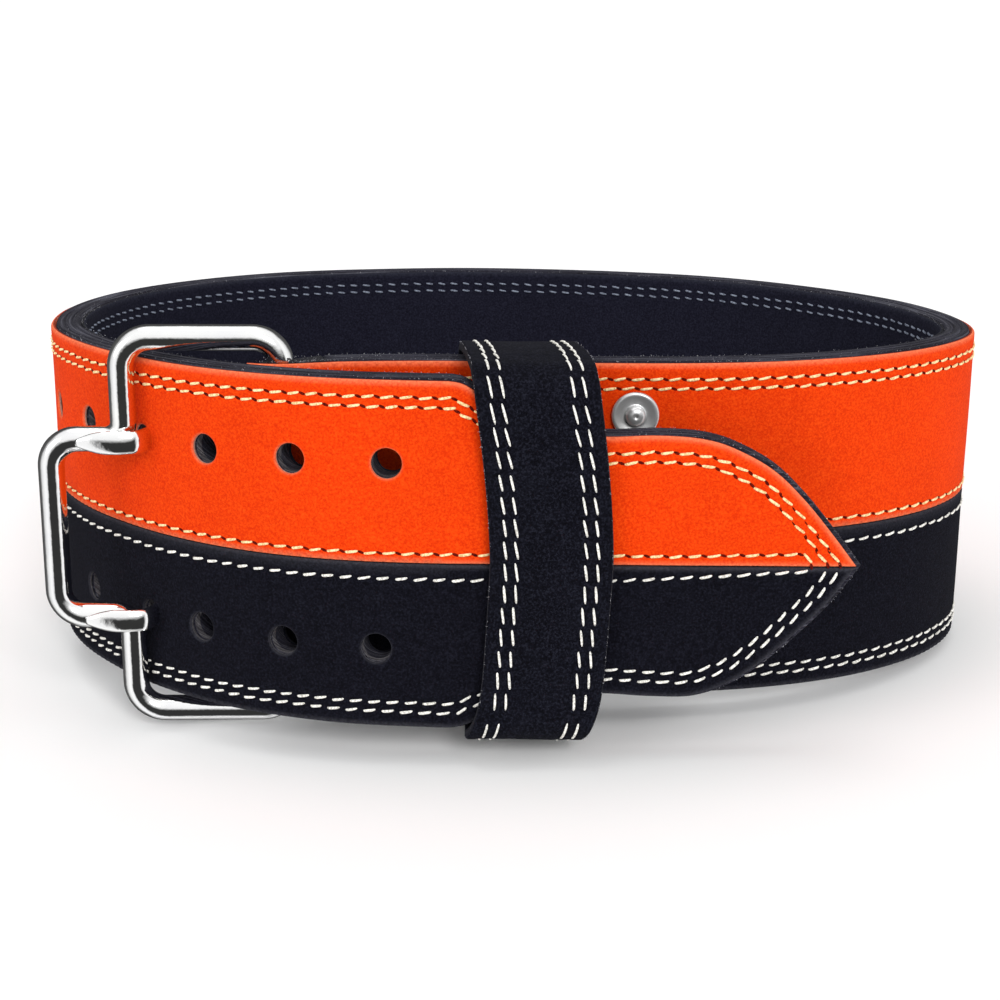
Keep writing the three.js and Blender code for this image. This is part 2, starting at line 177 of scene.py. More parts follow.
def smooth_path(rows):
    """Centripetal curve through the rows, as many close points."""
    pts = [np.array(r, float) for r in rows]
    pts = [2 * pts[0] - pts[1], *pts, 2 * pts[-1] - pts[-2]]
    out = []
    for a, b, c, d in zip(pts, pts[1:], pts[2:], pts[3:]):
        d0, d1, d2 = (np.linalg.norm(q - p) ** 0.5 for p, q in ((a, b), (b, c), (c, d)))
        m1 = ((b - a) / d0 - (c - a) / (d0 + d1) + (c - b) / d1) * d1
        m2 = ((c - b) / d1 - (d - b) / (d1 + d2) + (d - c) / d2) * d1
        for t in np.linspace(0, 1, 120, endpoint=False):
            out.append(b + m1 * t + (3 * (c - b) - 2 * m1 - m2) * t**2 + (2 * (b - c) + m1 + m2) * t**3)
    out.append(pts[-2])
    return np.array(out)


def evenly(points, count):
    run = np.r_[0, np.cumsum(np.linalg.norm(np.diff(points, axis=0), axis=1))]
    at = np.linspace(0, run[-1], count)
    return np.stack([np.interp(at, run, points[:, i]) for i in range(points.shape[1])], 1), run[-1]


STATIONS = 2400
course, LENGTH = evenly(smooth_path([(a * LOOP_WIDTH, d * LOOP_DEPTH) for a, d in COURSE]), STATIONS + 1)
heading = np.roll(course, -6, 0) - np.roll(course, 6, 0)
heading[:6] = course[6] - course[0]
heading[-6:] = course[-1] - course[-7]
heading /= np.linalg.norm(heading, axis=1)[:, None]
station = np.linspace(0, LENGTH, STATIONS + 1)


def strap(s, depth, z):
    """Points of the strap: along its course, below its outer face, above its lower edge."""
    s, depth, z = np.broadcast_arrays(*(np.asarray(v, float) for v in (s, depth, z)))
    x, y = (np.interp(s, station, course[:, i]) for i in (0, 1))
    hx, hy = (np.interp(s, station, heading[:, i]) for i in (0, 1))
    return np.stack([x - hy * depth, y + hx * depth, z], -1)


def inward(s):
    hx, hy = (np.interp(s, station, heading[:, i]) for i in (0, 1))
    return np.array([-hy, hx, 0.0])


def station_at(x, start):
    for s in np.arange(start, LENGTH, 0.25):
        if strap(s, 0, 0)[0] >= x:
            return s
    return LENGTH


def rim_direction():
    """The solids' own up: the belt leans a little, to stand on its buckle and its far edge."""
    up = Vector((0, 0, 0))
    for polygon in frame["nodes"]["strap_core"].data.polygons:
        if polygon.normal.z > 0.9:
            up += polygon.normal * polygon.area
    return up.normalized()


up = rim_direction()
lean = np.array(Matrix.Rotation(math.atan2(-up.y, up.z), 3, "X") @ Matrix.Rotation(math.asin(up.x), 3, "Y"))
core_depth = FACING + GAP
shell = np.concatenate([
    strap(np.linspace(CORE_START, LENGTH - TONGUE_POINT, 900), d, z)
    for d in (core_depth, core_depth + CORE)
    for z in (0, WIDTH)
]) @ lean.T
core_low, core_high = (np.array(v) * 1000 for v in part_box("strap_core"))
shift = np.array([
    core_high[0] - shell[:, 0].max(),
    core_high[1] - shell[:, 1].max(),
    core_low[2] - shell[:, 2].min(),
])


def placed(points):
    """Millimetres in the belt's own space to metres in the frame."""
    return (np.asarray(points, float).reshape(-1, 3) @ lean.T + shift) / 1000


# Meshes


def piece(name, points, faces, materials, slot, nodes=(), marks=None, smooth=True, uv=None, edge=None):
    """A mesh of the belt that rides on its one body. marks gives each face's material."""
    mesh = bpy.data.meshes.new(name)
    mesh.from_pydata([tuple(p) for p in placed(points)], [], [tuple(int(i) for i in f) for f in faces])
    for material in materials:
        mesh.materials.append(material)
    if marks is not None:
        mesh.polygons.foreach_set("material_index", np.asarray(marks, np.int32))
    if smooth:
        mesh.polygons.foreach_set("use_smooth", np.ones(len(mesh.polygons), bool))
    if uv is not None:
        layer = mesh.uv_layers.new(name="along")
        corner = np.zeros(len(mesh.loops), np.int32)
        mesh.loops.foreach_get("vertex_index", corner)
        layer.data.foreach_set("uv", (np.asarray(uv, np.float32)[corner] / 1000).ravel())
    # edge holds the suede's pale-edge mask: lighter fuzz plus a painted rim highlight.
    if edge is not None:
        mesh.attributes.new("edge", "FLOAT", "POINT").data.foreach_set("value", np.asarray(edge, np.float32))
    mesh.validate()
    mesh.update()
    obj = bpy.data.objects.new(name, mesh)
    bpy.context.scene.collection.objects.link(obj)
    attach(obj, "root")
    if nodes:
        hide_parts(*nodes)
    return obj


def tube_rings(rings, sides, closed=False):
    """Faces of a tube made of a number of rings, each with a number of sides."""
    faces = []
    for i in range(rings if closed else rings - 1):
        a, b = i * sides, ((i + 1) % rings) * sides
        for j in range(sides):
            k = (j + 1) % sides
            faces.append((a + j, a + k, b + k, b + j))
    if not closed:
        last = (rings - 1) * sides
        faces.append(tuple(range(sides))[::-1])
        faces.append(tuple(range(last, last + sides)))
    return faces


def outward(points, faces):
    """Turns the faces round if the closed body they make is inside out."""
    p = np.asarray(points, float)
    volume = 0.0
    for f in faces:
        for i in range(1, len(f) - 1):
            volume += np.dot(p[f[0]], np.cross(p[f[i]], p[f[i + 1]]))
    return faces if volume > 0 else [tuple(f)[::-1] for f in faces]


# Materials


class Nodes:
    """A short way to write a node tree."""

    def __init__(self, name):
        self.material = bpy.data.materials.new(name)
        self.material.use_nodes = True
        self.tree = self.material.node_tree
        self.shader = self.tree.nodes["Principled BSDF"]
        self.place = self.tree.nodes.new("ShaderNodeTexCoord")

    def add(self, kind, **values):
        node = self.tree.nodes.new(kind)
        for key, value in values.items():
            if key in node.inputs:
                node.inputs[key].default_value = value
            else:
                setattr(node, key, value)
        return node

    def link(self, a, out, b, into):
        self.tree.links.new(a.outputs[out], b.inputs[into])

    def set(self, **values):
        for key, value in values.items():
            self.shader.inputs[key.replace("_", " ")].default_value = value

    def grain(self, scale, detail=4.0, rough=0.6, space="Object", stretch=None):
        texture = self.add("ShaderNodeTexNoise", Scale=scale, Detail=detail, Roughness=rough)
        if stretch:
            mapping = self.add("ShaderNodeMapping", Scale=stretch)
            self.link(self.place, space, mapping, "Vector")
            self.link(mapping, "Vector", texture, "Vector")
        else:
            self.link(self.place, space, texture, "Vector")
        return texture

    def ramp(self, source, stops, out="Fac"):
        ramp = self.add("ShaderNodeValToRGB")
        elements = ramp.color_ramp.elements
        while len(elements) < len(stops):
            elements.new(0.5)
        for element, (at, colour) in zip(elements, stops):
            element.position = at
            element.color = (*colour, 1)
        self.link(source, out, ramp, "Fac")
        return ramp

    def mix(self, a, b, factor, blend="MIX", fac_out="Fac"):
        node = self.add("ShaderNodeMix", data_type="RGBA", blend_type=blend)
        self.tree.links.new(a, node.inputs["A"])
        self.tree.links.new(b, node.inputs["B"])
        if isinstance(factor, float):
            node.inputs["Factor"].default_value = factor
        else:
            self.tree.links.new(factor.outputs[fac_out], node.inputs["Factor"])
        return node

    def mix_value(self, attribute, texture):
        """An edge mask broken up by a texture."""
        node = self.add("ShaderNodeMath", operation="MULTIPLY")
        self.link(attribute, "Fac", node, 0)
        self.link(texture, "Fac", node, 1)
        return node

    def bump(self, *layers):
        last = None
        for texture, out, strength, distance in layers:
            node = self.add("ShaderNodeBump", Strength=strength, Distance=distance)
            self.link(texture, out, node, "Height")
            if last:
                self.link(last, "Normal", node, "Normal")
            last = node
        self.link(last, "Normal", self.shader, "Normal")


def suede(name, deep, mid, light, edge, sheen, sheen_tint):
    """Napped leather: a fine fleck, broader clouds where the nap lies over, and paler edges that are partly
    lighter fuzz and partly a painted highlight along the rim.
    """
    n = Nodes(name)
    nap = n.grain(1500, 4, 0.75)
    brushed = n.grain(1.0, 4, 0.65, "Object", (420, 420, 900))
    mottle = n.grain(120, 4, 0.6)
    clouds = n.grain(26, 3, 0.5)
    fine = n.ramp(nap, [(0.38, deep), (0.5, mid), (0.63, light)])
    wide = n.ramp(mottle, [(0.32, deep), (0.5, mid), (0.7, light)])
    lying = n.ramp(brushed, [(0.36, deep), (0.52, mid), (0.68, light)])
    colour = n.mix(fine.outputs["Color"], wide.outputs["Color"], 0.1)
    colour = n.mix(colour.outputs["Result"], lying.outputs["Color"], 0.15)
    drift = n.ramp(clouds, [(0.3, (0.94,) * 3), (0.7, (1.05,) * 3)])
    drifted = n.mix(colour.outputs["Result"], drift.outputs["Color"], 1.0, "MULTIPLY")
    # Paler along cut edges and hole lips: partly lighter fuzz, partly a painted highlight along the rim.
    edge_fuzz_and_painted_highlight = n.add("ShaderNodeAttribute", attribute_name="edge")
    broken_edge_fuzz_and_highlight = n.mix_value(edge_fuzz_and_painted_highlight, nap)
    pale = n.add("ShaderNodeRGB")
    pale.outputs[0].default_value = (*edge, 1)
    final = n.mix(drifted.outputs["Result"], pale.outputs["Color"], broken_edge_fuzz_and_highlight, fac_out="Value")
    n.link(final, "Result", n.shader, "Base Color")
    n.set(Roughness=0.95, Specular_IOR_Level=0.08, Sheen_Weight=sheen, Sheen_Roughness=0.5)
    n.shader.inputs["Sheen Tint"].default_value = (*sheen_tint, 1)
    n.bump((nap, "Fac", 0.5, 0.0004), (brushed, "Fac", 0.35, 0.0004), (mottle, "Fac", 0.3, 0.0008))
    return n.material


def cut_edge(name, dark, mid, light):
    """Cut, dyed edge of layered leather: streaks that run along the strap, and loose fibre."""
    n = Nodes(name)
    streak = n.grain(1.0, 5, 0.65, "UV", (22, 1100, 1))
    fuzz = n.grain(1400, 4, 0.75)
    patches = n.grain(70, 3, 0.6)
    base = n.ramp(streak, [(0.36, dark), (0.52, mid), (0.72, light)])
    nap = n.ramp(fuzz, [(0.38, dark), (0.58, mid), (0.76, light)])
    colour = n.mix(base.outputs["Color"], nap.outputs["Color"], 0.4)
    drift = n.ramp(patches, [(0.3, (0.7,) * 3), (0.7, (1.25,) * 3)])
    colour = n.mix(colour.outputs["Result"], drift.outputs["Color"], 1.0, "MULTIPLY")
    n.link(colour, "Result", n.shader, "Base Color")
    n.set(Roughness=0.9, Specular_IOR_Level=0.1, Sheen_Weight=0.03, Sheen_Roughness=0.4)
    n.bump((streak, "Fac", 0.6, 0.0006), (fuzz, "Fac", 0.5, 0.0004))
    return n.material


def steel(name, tone, rough, wear, metal=1.0):
    """Plated wire: handling smears in the polish, and a faintly uneven surface."""
    n = Nodes(name)
    smear = n.grain(60, 4, 0.6)
    ripple = n.grain(210, 3, 0.5)
    pits = n.grain(900, 3, 0.5)
    smeared = tuple(tone * v for v in (0.9, 0.9, 0.92))
    shade = n.ramp(smear, [(0.3, smeared), (0.7, (tone, tone, tone * 0.98))])
    n.link(shade, "Color", n.shader, "Base Color")
    polish = n.add("ShaderNodeMapRange")
    n.link(smear, "Fac", polish, "Value")
    polish.inputs["To Min"].default_value = rough * 0.6
    polish.inputs["To Max"].default_value = rough * 1.6
    n.link(polish, "Result", n.shader, "Roughness")
    n.set(Metallic=metal)
    n.bump((ripple, "Fac", wear, 0.0004), (pits, "Fac", wear * 0.6, 0.0001))
    return n.material


def thread(name, shade, bright):
    """Waxed, twisted thread."""
    n = Nodes(name)
    twist = n.grain(1800, 3, 0.5)
    colour = n.ramp(twist, [(0.34, shade), (0.6, bright)])
    n.link(colour, "Color", n.shader, "Base Color")
    n.set(Roughness=0.8, Specular_IOR_Level=0.05)
    n.bump((twist, "Fac", 0.5, 0.0002))
    return n.material


# Each suede's fourth colour is its pale edge: lighter fuzz plus a painted rim highlight.
ORANGE = suede(
    "orange_suede", (0.6, 0.024, 0.0005), (0.745, 0.042, 0.001), (0.86, 0.076, 0.004),
    (0.95, 0.31, 0.15), 0.02, (1.0, 0.4, 0.2)
)
BLACK = suede(
    "black_suede", (0.0009, 0.0009, 0.0022), (0.0032, 0.0032, 0.0068), (0.0105, 0.011, 0.0185),
    (0.07, 0.07, 0.085), 0.01, (0.8, 0.8, 1.0)
)
LINING_SUEDE = suede(
    "lining_suede", (0.004, 0.004, 0.009), (0.0088, 0.0088, 0.0178), (0.018, 0.0185, 0.033),
    (0.03, 0.032, 0.045), 0.01, (0.8, 0.8, 1.0)
)
KEEPER_SUEDE = suede(
    "keeper_suede", (0.0006, 0.0006, 0.0015), (0.0024, 0.0025, 0.0058), (0.014, 0.015, 0.024),
    (0.03, 0.032, 0.045), 0.01, (0.8, 0.8, 1.0)
)
RIM = cut_edge("cut_leather_edge", (0.005, 0.0042, 0.0085), (0.026, 0.025, 0.038), (0.2, 0.205, 0.25))
SUEDE_RIM = cut_edge("suede_edge", (0.004, 0.004, 0.007), (0.012, 0.012, 0.018), (0.06, 0.062, 0.075))
ORANGE_RIM = cut_edge("orange_suede_edge", (0.16, 0.012, 0.003), (0.5, 0.04, 0.006), (0.85, 0.16, 0.05))
ORANGE_PUNCHED = cut_edge("orange_hole_edge", (0.3, 0.06, 0.04), (0.8, 0.42, 0.32), (1.0, 0.85, 0.78))
PUNCHED = cut_edge("black_hole_edge", (0.015, 0.013, 0.017), (0.1, 0.095, 0.105), (0.5, 0.48, 0.5))
FOLD_LEATHER = cut_edge("fold_leather", (0.004, 0.004, 0.007), (0.014, 0.014, 0.02), (0.08, 0.08, 0.095))
CHROME = steel("buckle_steel", 0.88, 0.07, 0.28)
DULL = steel("rivet_steel", 0.66, 0.3, 0.3, 0.72)
CREAM = thread("cream_thread", (0.6, 0.38, 0.14), (1.0, 0.8, 0.45))
WHITE = thread("white_thread", (0.45, 0.44, 0.4), (1.0, 0.98, 0.92))
GREY = thread("grey_thread", (0.09, 0.1, 0.14), (0.26, 0.29, 0.36))
FIBRE = thread("loose_fibre", (0.14, 0.14, 0.17), (0.6, 0.6, 0.64))
# Painted shade: dark red for the discs laid in the dents between the orange stitches.
STITCH_DENT_SHADE = thread("stitch_dent_painted_shade", (0.035, 0.0015, 0.001), (0.13, 0.006, 0.002))


# The strap's layers as flat sheets, cut to outline and bent round the course


TIP_Z = SPLIT + 0.4
TIP_SHOWS = 1.5
tongue_rows = smooth_path(TONGUE)


def tongue_half(s, side):
    """The tongue's height above or below its tip at a station, as a share of half the strap's width."""
    along = np.clip((np.asarray(s, float) - (LENGTH - TONGUE_POINT)) / TONGUE_POINT, 0, 1)
    return np.clip(np.interp(along, tongue_rows[:, 0], tongue_rows[:, side]), 0, 1)


def top_edge(s, trim=0.0):
    return TIP_Z + tongue_half(s, 1) * (WIDTH - trim - TIP_Z)


def bottom_edge(s, trim=0.0):
    return TIP_Z - tongue_half(s, 2) * (TIP_Z - trim)


def resampled(points, spacing):
    points = np.asarray(points, float)
    run = np.r_[0, np.cumsum(np.linalg.norm(np.diff(points, axis=0), axis=1))]
    count = max(2, int(round(run[-1] / spacing)) + 1)
    return evenly(points, count)[0]


def circle(s, z, radius, count):
    a = 2 * math.pi * np.arange(count) / count
    return np.stack([s + radius * np.cos(a), z + radius * np.sin(a)], 1)


bar_depth = FACING + GAP + FOLD_WALL + GAP + WIRE / 2
bar = strap(BAR_FROM_END, bar_depth, MIDDLE)


def in_frame(u, v, out=0.0):
    """A point of the buckle's plane: u from the bar to the left, v up from the middle."""
    return np.array([
        bar[0] - u * math.cos(FRAME_YAW) - out * math.sin(FRAME_YAW),
        bar[1] + u * math.sin(FRAME_YAW) - out * math.cos(FRAME_YAW),
        MIDDLE + v,
    ])


step_wire = in_frame(FRAME_TO_STEP, 0)
hug = WIRE / 2 + PRONG_THICK / 2 + GAP + 0.13
prong_station = station_at(step_wire[0] + hug - 0.3, LENGTH * 0.7)
rivet_station = station_at(RIVET_X, 30)

# Every hole as its place along the strap, its height and its radius
HOLES = []
for column in range(HOLE_COLUMNS):
    s = prong_station - 3.8 + (PRONG_COLUMN - column) * HOLE_PITCH
    for side in (-1, 1):
        if column == PRONG_COLUMN:
            HOLES.append((s + 2.4, MIDDLE + side * HOLE_ROW, HOLE_RADIUS - 0.65))
        else:
            HOLES.append((s - (HOLE_SKEW if side < 0 else 0), MIDDLE + side * HOLE_ROW, HOLE_RADIUS))
SHANK_HOLES = [(rivet_station, z, SHANK / 2 + GAP + 0.1) for z in (RIVET_FROM_EDGE, WIDTH - RIVET_FROM_EDGE)]


def from_hole(p, hole):
    s, z, radius = hole
    return np.hypot(p[:, 0] - s, p[:, 1] - z) - radius


def from_line(p, line):
    """Distance of each point to a line of points."""
    best = np.full(len(p), 1e9)
    for start in range(0, len(line) - 1, 64):
        a, b = line[start : start + 65][:-1], line[start : start + 65][1:]
        low, high = np.minimum(a, b).min(0) - 12, np.maximum(a, b).max(0) + 12
        near = np.all((p > low) & (p < high), axis=1)
        if not near.any():
            continue
        q = p[near][:, None]
        ab = (b - a)[None]
        t = np.clip(((q - a) * ab).sum(-1) / np.maximum((ab**2).sum(-1), 1e-12), 0, 1)
        d = np.linalg.norm(q - (a + t[..., None] * ab), axis=-1).min(1)
        best[near] = np.minimum(best[near], d)
    return best


def rounding(e, radius):
    e = np.clip(e, 0, radius)
    return radius - np.sqrt(np.maximum(radius**2 - (radius - e) ** 2, 0))


EDGE_RINGS = (0.22, 0.55, 1.0, 1.7, 2.8)
HOLE_CORNERS = 36


def sheet_plan(start, low, high, z_lines, end=LENGTH):
    """Triangles of a flat sheet with holes. low and high give the z of its two long edges at a station."""
    spacing = 3.0
    close = 1.6
    turn_at = LENGTH - TONGUE_POINT
    straight = np.linspace(start, turn_at, int((turn_at - start) / spacing) + 1)
    shaped = np.linspace(turn_at, end, 90)[1:]
    stations_top = np.r_[straight, shaped]
    upper = np.stack([stations_top, high(stations_top)], 1)
    lower = np.stack([stations_top, low(stations_top)], 1)
    if upper[-1, 1] - lower[-1, 1] < 0.2:
        lower = lower[:-1]
    upper, lower = (
        np.concatenate([
            resampled(side[: len(straight)], spacing),
            resampled(side[len(straight) - 1 :], close)[1:],
        ])
        for side in (upper, lower)
    )
    left = resampled([upper[0], lower[0]], spacing)[1:-1]
    tip = np.zeros((0, 2))
    if np.linalg.norm(lower[-1] - upper[-1]) > 2.5:
        tip = resampled([lower[-1], upper[-1]], close)[1:-1]
    outline = np.concatenate([lower, tip, upper[::-1], left])
    holes = [h for h in HOLES + SHANK_HOLES if low(h[0]) < h[1] < high(h[0]) and h[0] > start]
    loops = [outline] + [circle(*h, HOLE_CORNERS) for h in holes]
    # Points inside: rows at set heights, rows that follow the shaped edge, and rings round the holes
    inside = []
    for z in z_lines:
        s = np.arange(start + 1.2, LENGTH, spacing)
        inside.append(np.stack([s, np.full_like(s, z)], 1))
    shaped_s = np.linspace(turn_at, end, 110)
    for edge, sign in ((high, -1), (low, 1)):
        base = np.stack([shaped_s, edge(shaped_s)], 1)
        direction = np.gradient(base, axis=0)
        direction /= np.linalg.norm(direction, axis=1)[:, None]
        normal = np.stack([-direction[:, 1], direction[:, 0]], 1) * -sign
        if normal[0, 1] * sign < 0:
            normal = -normal
        for e in (*EDGE_RINGS, *(seam + side for seam in SEAMS for side in (-0.7, 0, 0.7))):
            inside.append(base + normal * e)
    inside = np.concatenate(inside)
    free = np.ones(len(inside), bool)
    free &= inside[:, 0] > start + 0.6
    free &= (inside[:, 1] < high(inside[:, 0]) - 0.12) & (inside[:, 1] > low(inside[:, 0]) + 0.12)
    free &= from_line(inside, np.concatenate([outline, outline[:1]])) > 0.15
    for h in holes:
        free &= from_hole(inside, h) > 1.9
    inside = inside[free]
    rings = [circle(h[0], h[1], h[2] + e, HOLE_CORNERS) for h in holes for e in (0.2, 0.5, 0.95, 1.6)]
    rings = [r[(r[:, 1] < high(r[:, 0]) - 0.3) & (r[:, 1] > low(r[:, 0]) + 0.3)] for r in rings]
    points = np.concatenate([*loops, *rings, inside])
    edges = []
    first = 0
    for loop in loops:
        edges += [(first + i, first + (i + 1) % len(loop)) for i in range(len(loop))]
        first += len(loop)
    verts, _, faces, sources, _, _ = delaunay_2d_cdt([Vector(p) for p in points], edges, [], 1, 1e-4)
    flat = np.array([tuple(v) for v in verts])
    where = {}
    for i, source in enumerate(sources):
        for j in source:
            where[j] = i
    faces = [tuple(f) for f in faces]
    middle = np.array([flat[list(f)].mean(0) for f in faces])
    keep = (middle[:, 1] < high(middle[:, 0])) & (middle[:, 1] > low(middle[:, 0]))
    for h in holes:
        keep &= from_hole(middle, h) > -0.02
    faces = [f for f, k in zip(faces, keep) if k]
    loop_ids = []
    first = 0
    for loop in loops:
        ids = [where[first + i] for i in range(len(loop))]
        loop_ids.append([v for i, v in enumerate(ids) if v != ids[i - 1]])
        first += len(loop)
    return flat, faces, loop_ids, holes


def layer(name, plan, near, far, relief, round_near, round_far, wall, materials, slot, node):
    """A sheet given its thickness: two faces, and walls that follow a profile round every edge."""
    flat, faces, loops, holes = plan
    outline = flat[loops[0]]
    e = from_line(flat, np.concatenate([outline, outline[:1]]))
    # Mask for the suede's pale edges and hole lips: partly lighter fuzz, partly a painted highlight.
    edge_fuzz_and_painted_highlight = np.exp(-((e / 0.9) ** 2))
    for h in holes:
        lip = np.maximum(from_hole(flat, h), 0)
        edge_fuzz_and_painted_highlight = np.maximum(edge_fuzz_and_painted_highlight, 0.8 * np.exp(-((lip / 0.32) ** 2)))
        e = np.minimum(e, lip)
    front_depth = near + rounding(e, round_near) + relief(flat)
    back_depth = far - rounding(e, round_far)
    count = len(flat)
    points = [strap(flat[:, 0], front_depth, flat[:, 1]), strap(flat[:, 0], back_depth, flat[:, 1])]
    uv = [flat, flat]
    all_faces, marks = [], []
    for f in faces:
        a, b, c = f[:3]
        turn_way = np.cross(flat[b] - flat[a], flat[c] - flat[a])
        f = f if turn_way > 0 else f[::-1]
        all_faces.append(f)
        marks.append(0)
        all_faces.append(tuple(i + count for i in f[::-1]))
        marks.append(0)
    total = 2 * count
    for number, loop in enumerate(loops):
        ring = flat[loop]
        ahead, behind = np.roll(ring, -1, 0), np.roll(ring, 1, 0)
        along = ahead - behind
        along /= np.linalg.norm(along, axis=1)[:, None] + 1e-12
        out = np.stack([along[:, 1], -along[:, 0]], 1)
        area = 0.5 * np.sum(ring[:, 0] * ahead[:, 1] - ahead[:, 0] * ring[:, 1])
        if (area < 0) == (number == 0):
            out = -out
        bulge = 1.0 if number == 0 else 0.0
        top, bottom = front_depth[loop], back_depth[loop]
        rows = [np.array(loop)]
        for share, swell in wall:
            p = ring + out * swell * bulge
            points.append(strap(p[:, 0], top + (bottom - top) * share, p[:, 1]))
            uv.append(np.stack([p[:, 0], p[:, 1] + 60 + share * (far - near)], 1))
            rows.append(np.arange(total, total + len(loop)))
            total += len(loop)
        rows.append(np.array(loop) + count)
        for depth, (upper_row, lower_row) in enumerate(zip(rows, rows[1:])):
            for i in range(len(loop)):
                j = (i + 1) % len(loop)
                quad = (upper_row[i], upper_row[j], lower_row[j], lower_row[i])
                all_faces.append(quad if (area < 0) == (number == 0) else quad[::-1])
                marks.append(2 if number and len(materials) > 2 and depth < 6 else 1)
    points = np.concatenate(points)
    all_faces = outward(points, all_faces)
    edge_fuzz_and_painted_highlight = np.r_[edge_fuzz_and_painted_highlight, edge_fuzz_and_painted_highlight, np.ones(len(points) - 2 * count)]
    return piece(name, points, all_faces, materials, slot, [node], marks, uv=np.concatenate(uv), edge=edge_fuzz_and_painted_highlight)


def drawn_in(s):
    """Stations of the core's outline that a facing, cut a little shorter at the tip, follows."""
    turn_at = LENGTH - TONGUE_POINT
    over = np.maximum(np.asarray(s, float) - turn_at, 0)
    return np.minimum(np.minimum(s, turn_at) + over * TONGUE_POINT / (TONGUE_POINT - TIP_SHOWS), LENGTH)


def flat_z(value):
    return lambda s: np.full_like(np.asarray(s, float), value)


def seam_relief(p, rows):
    """Stitching pulls the suede in along its rows; the face is never quite flat."""
    depth = np.zeros(len(p))
    for e in rows:
        depth += 0.22 * np.exp(-((e / 0.75) ** 2))
    s, z = p[:, 0], p[:, 1]
    depth += 0.1 * np.sin(s / 17.0 + 1.3) * np.sin(z / 13.0 + 0.4)
    depth += 0.06 * np.sin(s / 6.1 + z / 9.0)
    return depth + 0.08


def no_relief(p):
    return np.zeros(len(p))


def from_edge(p, e, edge):
    """The distances e, but square to the edge where the tongue is shaped."""
    shaped = p[:, 0] > LENGTH - TONGUE_POINT - 20
    if shaped.any():
        s = np.linspace(LENGTH - TONGUE_POINT - 30, LENGTH, 160)
        e[shaped] = from_line(p[shaped], np.stack([s, edge(s, EDGE)], 1))
    return e


def orange_relief(p):
    e = from_edge(p, top_edge(p[:, 0], EDGE) - p[:, 1], top_edge)
    return seam_relief(p, [e - SEAMS[0], e - SEAMS[1], p[:, 1] - SPLIT - SPLIT_SEAM_ABOVE])


def black_relief(p):
    e = from_edge(p, p[:, 1] - bottom_edge(p[:, 0], EDGE), bottom_edge)
    return seam_relief(p, [e - SEAMS[0], e - SEAMS[1], p[:, 1] - SPLIT + SPLIT_SEAM_BELOW])


def rows_near(edge, sign):
    """Heights of grid rows near a long edge, close together where the surface bends."""
    offsets = (*EDGE_RINGS, 4.0, 4.5, 5.2, 5.9, 6.4, 7.0, 7.7, 8.4, 9.2)
    return [edge - sign * o for o in offsets]


def orange_facing():
    top = WIDTH - EDGE
    low = SPLIT + GAP
    seam = SPLIT + SPLIT_SEAM_ABOVE
    z_lines = rows_near(top, 1) + [low + e for e in (0.2, 0.5, 1.0)] + [seam - 0.7, seam, seam + 0.7]
    z_lines += list(np.linspace(seam + 2.5, top - 11, 12))
    plan = sheet_plan(
        0.0, flat_z(low), lambda s: np.maximum(top_edge(drawn_in(s), EDGE), low), z_lines, LENGTH - TIP_SHOWS
    )
    layer(
        "orange_facing_suede", plan, 0.0, FACING, orange_relief, 0.7, 0.05, [(0.5, 0.04)],
        [ORANGE, ORANGE_RIM, ORANGE_PUNCHED], "orange_suede", "orange_facing",
    )


def black_facing():
    seam = SPLIT - SPLIT_SEAM_BELOW
    z_lines = rows_near(EDGE, -1) + [SPLIT - e for e in (0.2, 0.5, 1.0)] + [seam - 0.7, seam, seam + 0.7]
    z_lines += list(np.linspace(EDGE + 11, seam - 2.5, 12))
    plan = sheet_plan(
        0.0, lambda s: np.minimum(bottom_edge(drawn_in(s), EDGE), SPLIT), flat_z(SPLIT), z_lines,
        LENGTH - TIP_SHOWS,
    )
    layer(
        "black_facing_suede", plan, 0.0, FACING, black_relief, 0.7, 0.05, [(0.5, 0.04)],
        [BLACK, SUEDE_RIM, PUNCHED], "black_suede", "black_facing",
    )


def strap_core():
    """The thick leather: its cut edge shows three plies pressed together."""
    near, far = FACING + GAP, FACING + GAP + CORE
    z_lines = [1.2, 4, 12, 24, 36, 48, 60, 72, 84, 92, 96, 98.8]
    plan = sheet_plan(CORE_START, bottom_edge, top_edge, z_lines)
    bulge = ((0.04, -0.1), (0.12, 0.12), (0.3, 0.22), (0.5, 0.24), (0.7, 0.22), (0.88, 0.12), (0.96, -0.1))
    plies = 3
    wall = [((ply + share) / plies, swell - 0.24) for ply in range(plies) for share, swell in bulge]
    layer(
        "strap_core_leather", plan, near, far, no_relief, 0.35, 0.35, wall,
        [RIM, RIM, PUNCHED], "core_leather", "strap_core",
    )


def inner_lining():
    near, far = FACING + GAP + CORE + GAP, THICK
    low_lines = rows_near(EDGE, -1)
    high_lines = rows_near(WIDTH - EDGE, 1)
    z_lines = low_lines + high_lines + list(np.linspace(14, 86, 10))
    plan = sheet_plan(CORE_START, lambda s: bottom_edge(s, EDGE), lambda s: top_edge(s, EDGE), z_lines)
    layer(
        "inner_lining_suede", plan, near, far, no_relief, 0.05, 0.7, [(0.5, 0.04)],
        [LINING_SUEDE, SUEDE_RIM], "lining_suede", "inner_lining",
    )


# Stitching


def offset_row(edge, inset, start, end, inside):
    """A seam that keeps its distance from a shaped edge. inside is -1 below the edge, +1 above it."""
    s = np.linspace(start, LENGTH, 2400)
    base = np.stack([s, edge(s)], 1)
    along = np.gradient(base, axis=0)
    along /= np.linalg.norm(along, axis=1)[:, None]
    row = base + np.stack([-along[:, 1], along[:, 0]], 1) * inset * inside
    return row[row[:, 0] < end]


